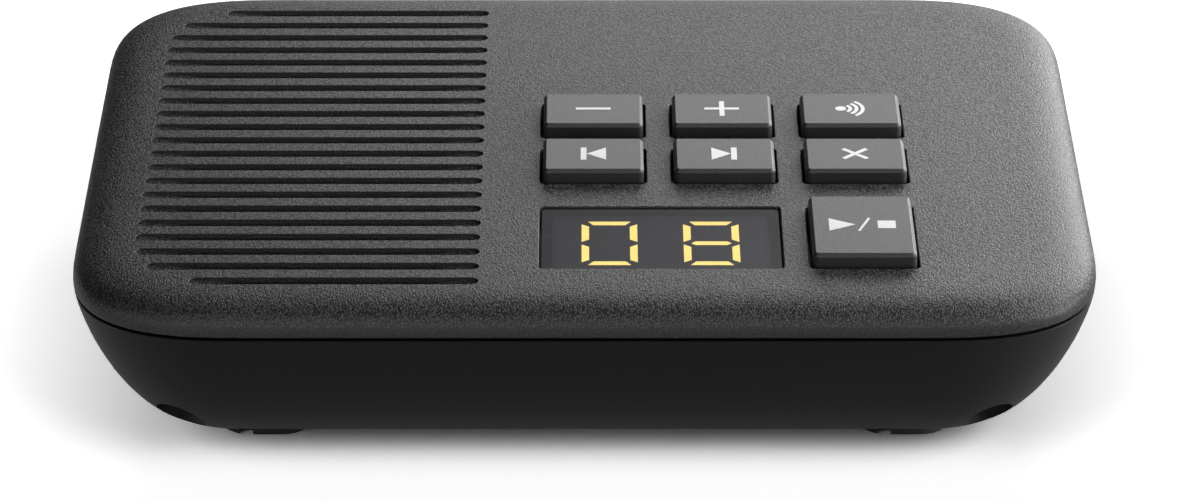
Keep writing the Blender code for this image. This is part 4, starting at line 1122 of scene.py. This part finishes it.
def build_display():
    """The dark block and its bars, which read 08: of the left digit the middle bar is dark."""
    low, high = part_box("display_module")
    half = half_of("display_module")
    x, y = place_of("display_module")
    face_z = high.z - segment_rise
    block = prism("display_block", rectangle(half.x, half.y, (x, y)), low.z, face_z)
    settle(block, "display_plastic", "housing", "display_module")
    bars = {"lit_segment": [], "unlit_segment": []}
    for side in (-1, 1):
        centre = (x + side * digit_pitch / 2, y + digit_set_back)
        for number, outline in enumerate(digit_outlines(centre)):
            kind = "unlit_segment" if side < 0 and number == 0 else "lit_segment"
            bars[kind].append(prism("bar", outline, face_z, high.z))
    for kind in bars:
        piece = merged(kind + "s", bars[kind])
        dress(piece, finishes[kind])
        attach(piece, "housing")


# Grille cloth, speaker surround and gasket

def build_cloth():
    """The woven cloth stretched behind the slots, cut out round the bosses and the speaker's holders."""
    low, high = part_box("grille_cloth")
    half = half_of("grille_cloth")
    centre = place_of("speaker_frame")
    outline = rounded_outline(half.x, half.y, flat_corner_radius, centre=centre)
    cloth = prism("cloth_sheet", outline, low.z, high.z)
    inner = half_of("speaker_frame").x + holder_gap - seat_gap
    outer = inner + holder_wall + 2 * seat_gap
    half_turn = holder_half_turn + seat_gap / inner
    holes = [arc_outline(inner, outer, half_turn, centre, turn) for turn in holder_turns]
    for name in ("front_left", "rear_left"):
        holes.append(circle(cover_boss_radius + seat_gap, place_of(name + "_case_screw")))
    cut(cloth, [prism("hole", hole, low.z - overrun, high.z + overrun) for hole in holes])
    settle(cloth, "cloth", "housing", "grille_cloth")


def surround_edges():
    """The radius of the cone's edge, and that of the frame's opening."""
    return half_of("speaker_cone").x, half_of("speaker_frame").x - speaker_flange_width


def surround_profile():
    """(radius, z) round the surround's section: a flat seat, a low roll and another flat seat."""
    inner, outer = surround_edges()
    low_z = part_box("speaker_surround")[0].z
    lower = [(inner - surround_seat, low_z)]
    for step in range(opening_steps + 1):
        share = step / opening_steps
        roll = surround_roll_height * math.sin(math.pi * share)
        lower.append((inner + (outer - inner) * share, low_z + roll))
    lower.append((outer + surround_seat, low_z))
    return lower + [(radius, z + surround_thickness) for radius, z in reversed(lower)]


def build_surround():
    """The ring in wedges, each of which reaches from the cone's edge to the frame's opening."""
    x, y = place_of("speaker_frame")
    profile = surround_profile()
    width = 2 * math.pi / surround_wedges
    for number in range(surround_wedges):
        rings = []
        for step in range(wedge_steps + 1):
            turn = width * (number + step / wedge_steps)
            rings.append([(x + r * math.cos(turn), y + r * math.sin(turn), height) for r, height in profile])
        wedge = loft("surround_wedge_" + str(number + 1), rings)
        smooth(wedge)
        dress(wedge, finishes["rubber"])
        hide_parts("speaker_surround")
        turn = width * (number + 1 / 2)
        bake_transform(wedge)


def build_gasket():
    low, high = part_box("speaker_gasket")
    outer = half_of("speaker_gasket").x
    inner = surround_edges()[1] + surround_seat + seat_gap
    rounding = edge_round(gasket_round)
    profile = [(outer - inset, high.z - drop) for inset, drop in rounding]
    profile += [(inner + inset, high.z - drop) for inset, drop in reversed(rounding)]
    profile += [(inner, low.z), (outer, low.z)]
    gasket = spun("gasket_ring", profile, place_of("speaker_frame"), circle_steps * 2)
    settle(gasket, "foam", "housing", "speaker_gasket")


# Key mat

def mat_outline(low, high):
    """An L: wide behind the second row of keys, and narrow in front, where only the play key is."""
    (_, second_y), half_x, half_y = key_opening("previous")
    step_x = high.x - 2 * (half_x - mat_margin)
    step_y = second_y - half_y
    return [
        (high.x, low.y), (high.x, high.y), (low.x, high.y),
        (low.x, step_y), (step_x, step_y), (step_x, low.y),
    ]


def dome_profile(low, high):
    """A thin skirt that rises to a thick round button."""
    under = high - dome_core
    waist = dome_top_radius - dome_wall
    profile = [
        (dome_base_radius - dome_wall, low), (dome_base_radius, low),
        (dome_base_radius - dome_foot, low + dome_foot), (dome_top_radius, under + dome_foot),
    ]
    profile += [(dome_top_radius - inset, high - drop) for inset, drop in edge_round(dome_round)]
    return profile + [(0, high), (0, under), (waist, under)]


def build_key_mat():
    """The mat's sheet, and a hollow dome under each key."""
    low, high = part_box("key_mat")
    sheet_z = low.z + mat_thickness
    mat = prism("mat_base", mat_outline(low, high), low.z, sheet_z)
    places = [place_of(name + "_key") for name in KEY_NAMES]
    radius = dome_base_radius - dome_wall
    cut(mat, posts("hole", places, radius, low.z - overrun, sheet_z + overrun))
    settle(mat, "silicone", "housing", "key_mat")
    for name, place in zip(KEY_NAMES, places):
        dome = spun(name + "_dome", dome_profile(sheet_z, high.z), place)
        settle(dome, "silicone", "housing", "key_mat")
        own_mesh(dome)


# Screws

def build_screw(name, sizes, head_up):
    """A pan head with a dished top and a cross recess, on a plain shank."""
    low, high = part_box(name)
    centre = place_of(name)
    head_radius, head_height, radius = sizes
    far, near = (high.z, low.z) if head_up else (low.z, high.z)
    side = 1 if head_up else -1
    profile = [(0, far)]
    for inset, drop in reversed(edge_round(screw_dish)):
        profile.append((head_radius - inset, far - side * drop))
    under = far - side * head_height
    profile += [(head_radius, under), (radius, under), (radius, near + side * radius), (0, near)]
    screw = spun(name + "_steel", profile, centre)
    ends = sorted((far + side * overrun, far - side * recess_depth))
    for half_x, half_y in ((recess_width / 2, recess_reach), (recess_reach, recess_width / 2)):
        cut(screw, [prism("recess", rectangle(half_x, half_y, centre), *ends)])
    settle(screw, "steel", "housing", name)


def build_screws():
    for name in FOOT_NAMES:
        build_screw(name + "_case_screw", case_screw_sizes, False)
    for main_name, key_name in zip(board_screws("main_board"), board_screws("key_board")):
        build_screw(main_name, board_screw_sizes, True)
        build_screw(key_name, board_screw_sizes, False)


# Parts kept from the frame

def dress_kept_parts():
    """Every part of the frame that still shows gets the finish of its slot."""
    for piece in frame["nodes"].values():
        for entry in piece.material_slots:
            entry.material = finishes[entry.material.name.split(".")[0]]


# Floor, light and camera

floor_side = 6.0
floor_roughness = 0.9
floor_shades = (0.6, 1.6)
plain_light = 0.04
mirrored_light = 1.15
mirrored_from = -0.6
machine_middle = (0, 0, 0.02)
floor_middle = (0, 0, 0)
window_lamp_offset = 0.06
window_lamp_height = 0.14
window_lamp_size = (0.05, 0.05)
window_lamp_power = 0.84
camera_lens = 172.96
camera_sensor = 36.0
camera_shift = 0.0129
camera_clips = (0.01, 20.0)
camera_place = (0, -0.5727, 0.2752)
camera_turn = math.radians(65.0362)

# Each lamp has its name, its place, its size and its power
MACHINE_LAMPS = (
    ("back", (0.05, 0.17, 0.1), (0.2, 0.1), 0.165),
    ("near_back_right", (0.12, 0.11, 0.06), (0.1, 0.04), 0.138),
    ("over_right", (0.3, 0.1, 0.3), (0.15, 0.15), 1.05),
    ("right_low", (0.25, -0.05, 0.05), (0.1, 0.05), 0.3),
    ("front", (0.0, -0.5, 0.03), (0.8, 0.05), 0.06),
)
CASE_LAMPS = (
    ("case_left", (-0.4, -0.08, 0.012), (0.1, 0.02), 0.6),
    ("case_right", (0.4, -0.08, 0.012), (0.1, 0.02), 0.9),
)
FLOOR_LAMPS = (
    ("floor_front_left", (-0.6687, -0.6687, 0.7388), (0.9, 0.5), 4.55),
    ("floor_low_left", (-0.7974, -0.7974, 0.4104), (0.9, 0.5), 3.6),
    ("floor_front_right", (0.6687, -0.6687, 0.7388), (0.9, 0.5), 7.75),
    ("floor_back", (0.0, 0.803, 0.8918), (0.9, 0.5), 6.75),
)


def build_floor():
    """A pale floor that looks whiter to the camera than in the light that bounces off it."""
    deselect()
    bpy.ops.mesh.primitive_plane_add(size=floor_side, location=floor_middle)
    floor = bpy.context.active_object
    floor.name = "floor"
    material, tree, shader = new_material("floor_white", floor_roughness)
    ray = node(tree, "ShaderNodeLightPath")
    white = remap(tree, ray.outputs["Is Camera Ray"], 0.0, 1.0, *floor_shades)
    tree.links.new(white, shader.inputs["Base Color"])
    dress(floor, material)
    return floor


def build_world():
    """White to the camera, dim to plain surfaces, and brighter towards the front in mirrored light."""
    world = bpy.data.worlds.new("studio")
    bpy.context.scene.world = world
    world.use_nodes = True
    tree = world.node_tree
    background = tree.nodes["Background"]
    ray = node(tree, "ShaderNodeLightPath").outputs
    direction = split_axes(tree, node(tree, "ShaderNodeTexCoord").outputs["Generated"])
    glossy = remap(tree, direction["Y"], 0.0, mirrored_from, 0.0, mirrored_light)
    seen = maths(tree, "ADD", ray["Is Camera Ray"], ray["Is Transmission Ray"], True)
    shiny = maths(tree, "MULTIPLY", ray["Is Glossy Ray"], glossy)
    plain = maths(tree, "SUBTRACT", 1.0, maths(tree, "ADD", seen, ray["Is Glossy Ray"], True), True)
    dim = maths(tree, "MULTIPLY", plain, plain_light)
    background.inputs["Color"].default_value = (1.0, 1.0, 1.0, 1.0)
    tree.links.new(maths(tree, "ADD", maths(tree, "ADD", seen, shiny), dim), background.inputs["Strength"])


def gathered(name, *pieces):
    """A collection of pieces that lamps light, or pass by."""
    collection = bpy.data.collections.new(name)
    for piece in pieces:
        collection.objects.link(piece)
    return collection


def hang_lamp(lamp, target, receivers):
    """Hangs a soft lamp, aimed at the target and linked to the receivers."""
    name, place, size, power = lamp
    data = bpy.data.lights.new(name, "AREA")
    data.shape = "RECTANGLE"
    data.size, data.size_y = size
    data.energy = power
    hung = bpy.data.objects.new(name, data)
    bpy.context.scene.collection.objects.link(hung)
    hung.location = place
    hung.rotation_euler = (Vector(target) - Vector(place)).to_track_quat("-Z", "Y").to_euler()
    hung.light_linking.receiver_collection = receivers


def build_lights(floor, window, case):
    """Lamps near the machine that pass by the floor and the window, and lamps for one piece alone."""
    passed_by = gathered("passed_by", floor, window)
    for lamp in MACHINE_LAMPS:
        hang_lamp(lamp, machine_middle, passed_by)
    for member in passed_by.collection_objects:
        member.light_linking.link_state = "EXCLUDE"
    x, y = place_of("display_window")
    x += window_lamp_offset
    glow = ("window_glow", (x, y, window_lamp_height), window_lamp_size, window_lamp_power)
    hang_lamp(glow, (x, y, 0), gathered("window_only", window))
    case_only = gathered("case_only", case)
    for lamp in CASE_LAMPS:
        hang_lamp(lamp, machine_middle, case_only)
    floor_only = gathered("floor_only", floor)
    for lamp in FLOOR_LAMPS:
        hang_lamp(lamp, floor_middle, floor_only)


def build_camera():
    data = bpy.data.cameras.new("camera")
    data.lens = camera_lens
    data.sensor_width = camera_sensor
    data.sensor_fit = "HORIZONTAL"
    data.shift_x = camera_shift
    data.clip_start, data.clip_end = camera_clips
    camera = bpy.data.objects.new("camera", data)
    bpy.context.scene.collection.objects.link(camera)
    camera.location = camera_place
    camera.rotation_euler = (camera_turn, 0, 0)
    bpy.context.scene.camera = camera


bpy.context.scene.view_settings.view_transform = "Standard"
build_cover()
build_case()
build_feet()
build_keys()
build_window()
build_display()
build_cloth()
build_surround()
build_gasket()
build_key_mat()
build_screws()
dress_kept_parts()
build_world()
build_lights(build_floor(), bpy.data.objects["window_lens"], bpy.data.objects["case_shell"])
build_camera()
